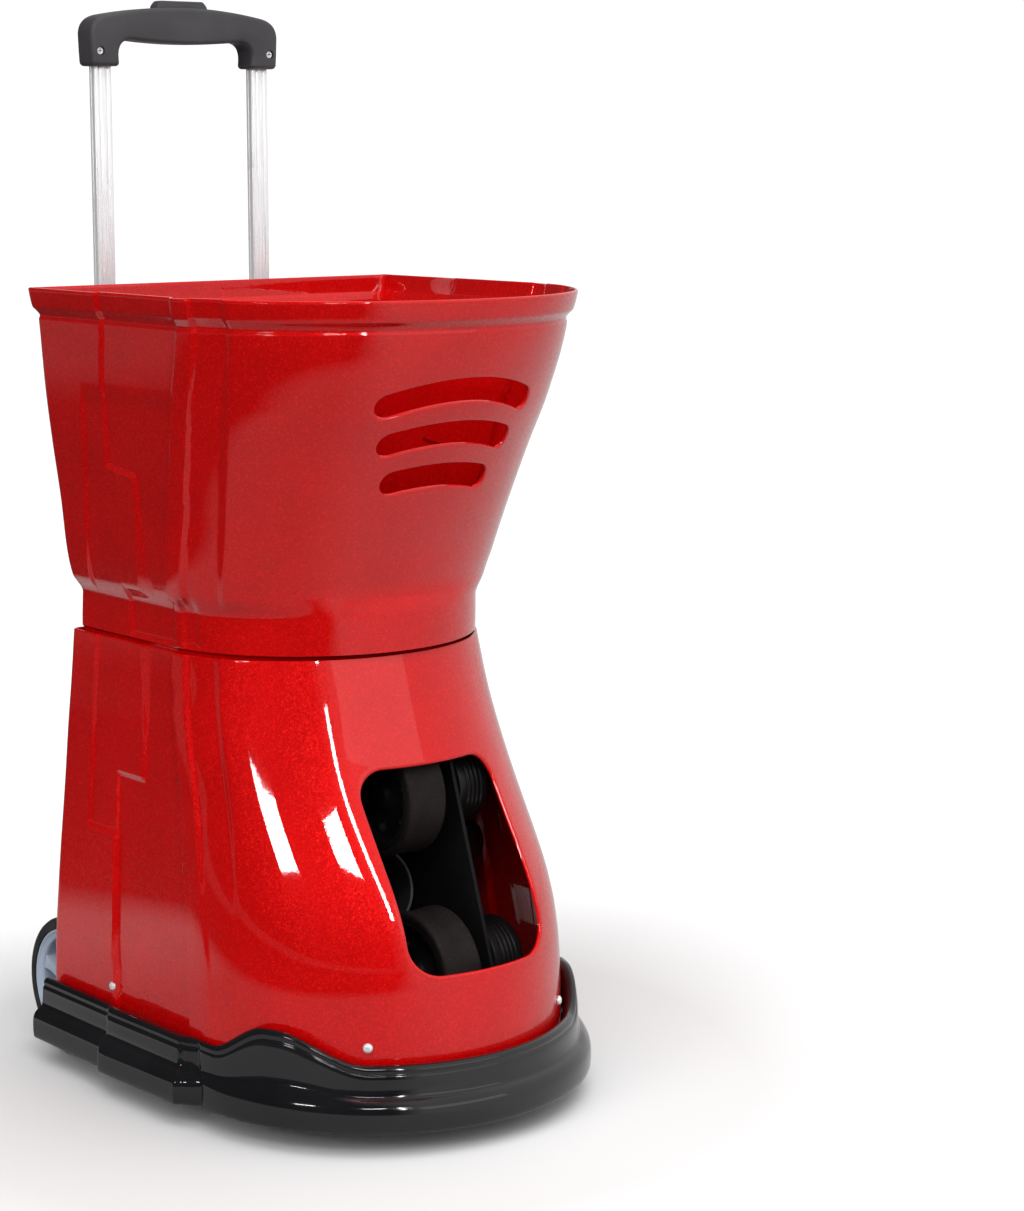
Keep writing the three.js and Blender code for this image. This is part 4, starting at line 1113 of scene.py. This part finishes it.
# name, place, aim, width, height, power, roll
BOXES = (("side_box", (-2.85, -0.81, 1.345), (-0.14, -0.107, 0.27), 0.6, 0.08, 7.5, 31),
         ("camera_box", (-1.565, -1.99, 2.125), (-0.104, -0.155, 0.257), 0.55, 0.10, 8.6, 14),
         ("front_strip", (-1.06, -2.45, 1.95), (-0.089, -0.157, 0.27), 0.1, 1.1, 14, 0),
         ("front_panel", (0.5, -2.8, 1.6), (0, -0.1, 0.3), 2.6, 1.0, 5, 0))


def floor():
    """White to the camera, with painted shade around the machine where its glow fades out.
    In the paint it is a grey with painted light, pale on the bright side, and elsewhere near the machine.
    Its ranges are distances from the machine in metres, and then the brightness at each end."""
    h = FLOOR_HALF
    mesh = bpy.data.meshes.new("floor")
    mesh.from_pydata([(-h, -h, 0), (h, -h, 0), (h, h, 0), (-h, h, 0)], [], [(0, 1, 2, 3)])
    g = look("floor_white")
    mesh.materials.append(LOOKS["floor_white"])
    reach = g.vector("LENGTH", {0: g.place}, "Value")
    # Painted shade: the floor glows from nothing at 0.40 m from the machine to 0.3 at 0.75 m, so it is darker
    # around the machine, a painted contact shadow.
    g.finish(g.cloudy((0.57,) * 3, (0.60,) * 3, 1.5, 3, 0.3, 0.7), 0.7, Specular_IOR_Level=0.1,
             Emission_Color=WHITE, Emission_Strength=g.range(reach, 0.40, 0.75, 0, 0.3))
    # Painted light: to all rays but the camera's, the floor is a grey that is paler on the studio's bright
    # side, paler near the machine, and brighter again from 3.4 m out.
    across = g.vector("DOT_PRODUCT", {0: g.place, 1: BRIGHT_WAY}, "Value")
    behind = g.node("ShaderNodeSeparateXYZ", {0: g.place}).outputs[1]
    near = g.maths("MULTIPLY", g.range(behind, 0.3, 0.6, 0.24, 0.40), g.range(reach, 0.95, 1.15, 1, 0))
    dim = g.maths("ADD", near, g.range(reach, 3.4, 4.6, 0.03, 0.14))
    share = g.range(across, -0.15, 0.2, 0, 1)
    grey = g.maths("ADD", g.maths("MULTIPLY", dim, g.maths("SUBTRACT", 1.0, share)),
                   g.maths("MULTIPLY", share, PAINTED_LIGHT_FLOOR))
    g.camera_sees(g.bsdf, g.node("ShaderNodeBsdfDiffuse", {"Color": grey}), "Material Output")
    link("floor", mesh)


def world():
    """White to the camera. To all other rays it is bright on one side and dark on the other."""
    studio = bpy.data.worlds.new("studio")
    bpy.context.scene.world = studio
    g = Graph(studio, "Generated")
    across = g.vector("DOT_PRODUCT", {0: g.place, 1: BRIGHT_WAY}, "Value")
    level = g.range(across, -0.14, 0.12, 0.05, 0.72)
    dim, seen = (g.node("ShaderNodeBackground", {"Color": WHITE, "Strength": v}) for v in (level, 1.05))
    g.camera_sees(seen, dim, "World Output")


def lights():
    """Soft suns with no reflection of their own, and boxes for the highlights."""
    for name, power, tilt, turn in SUNS:
        data = bpy.data.lights.new(name, "SUN")
        data.energy, data.angle = power, radians(SUN_SPREAD)
        light = link(name, data)
        light.rotation_euler = (radians(tilt), 0, radians(turn))
        light.visible_glossy = False
    for name, at, aim, width, height, power, roll in BOXES:
        data = bpy.data.lights.new(name, "AREA")
        data.shape, data.size, data.size_y, data.energy = "RECTANGLE", width, height, power
        light = link(name, data)
        light.location = at
        turn = (Vector(aim) - Vector(at)).to_track_quat("-Z", "Y") @ Quaternion((0, 0, 1), radians(roll))
        light.rotation_euler = turn.to_euler()


def camera():
    data = bpy.data.cameras.new("camera")
    data.sensor_width = 36
    data.lens = 84.49
    data.clip_end = 60
    cam = link("camera", data)
    cam.location = (-1.5504, -2.1172, 0.8760)
    cam.rotation_euler = (radians(90 - 9.26), 0, radians(-39.9))
    bpy.context.scene.camera = cam
    bpy.context.scene.view_settings.view_transform = "Standard"


camera()
materials()
red_shells()
skirt()
feet()
road_wheels()
throw_wheels()
head_details()
feeder()
grip()
handle_rods()
release_button()
rear_panel()
housing_screws()
ease_kept_nodes()
floor()
world()
lights()
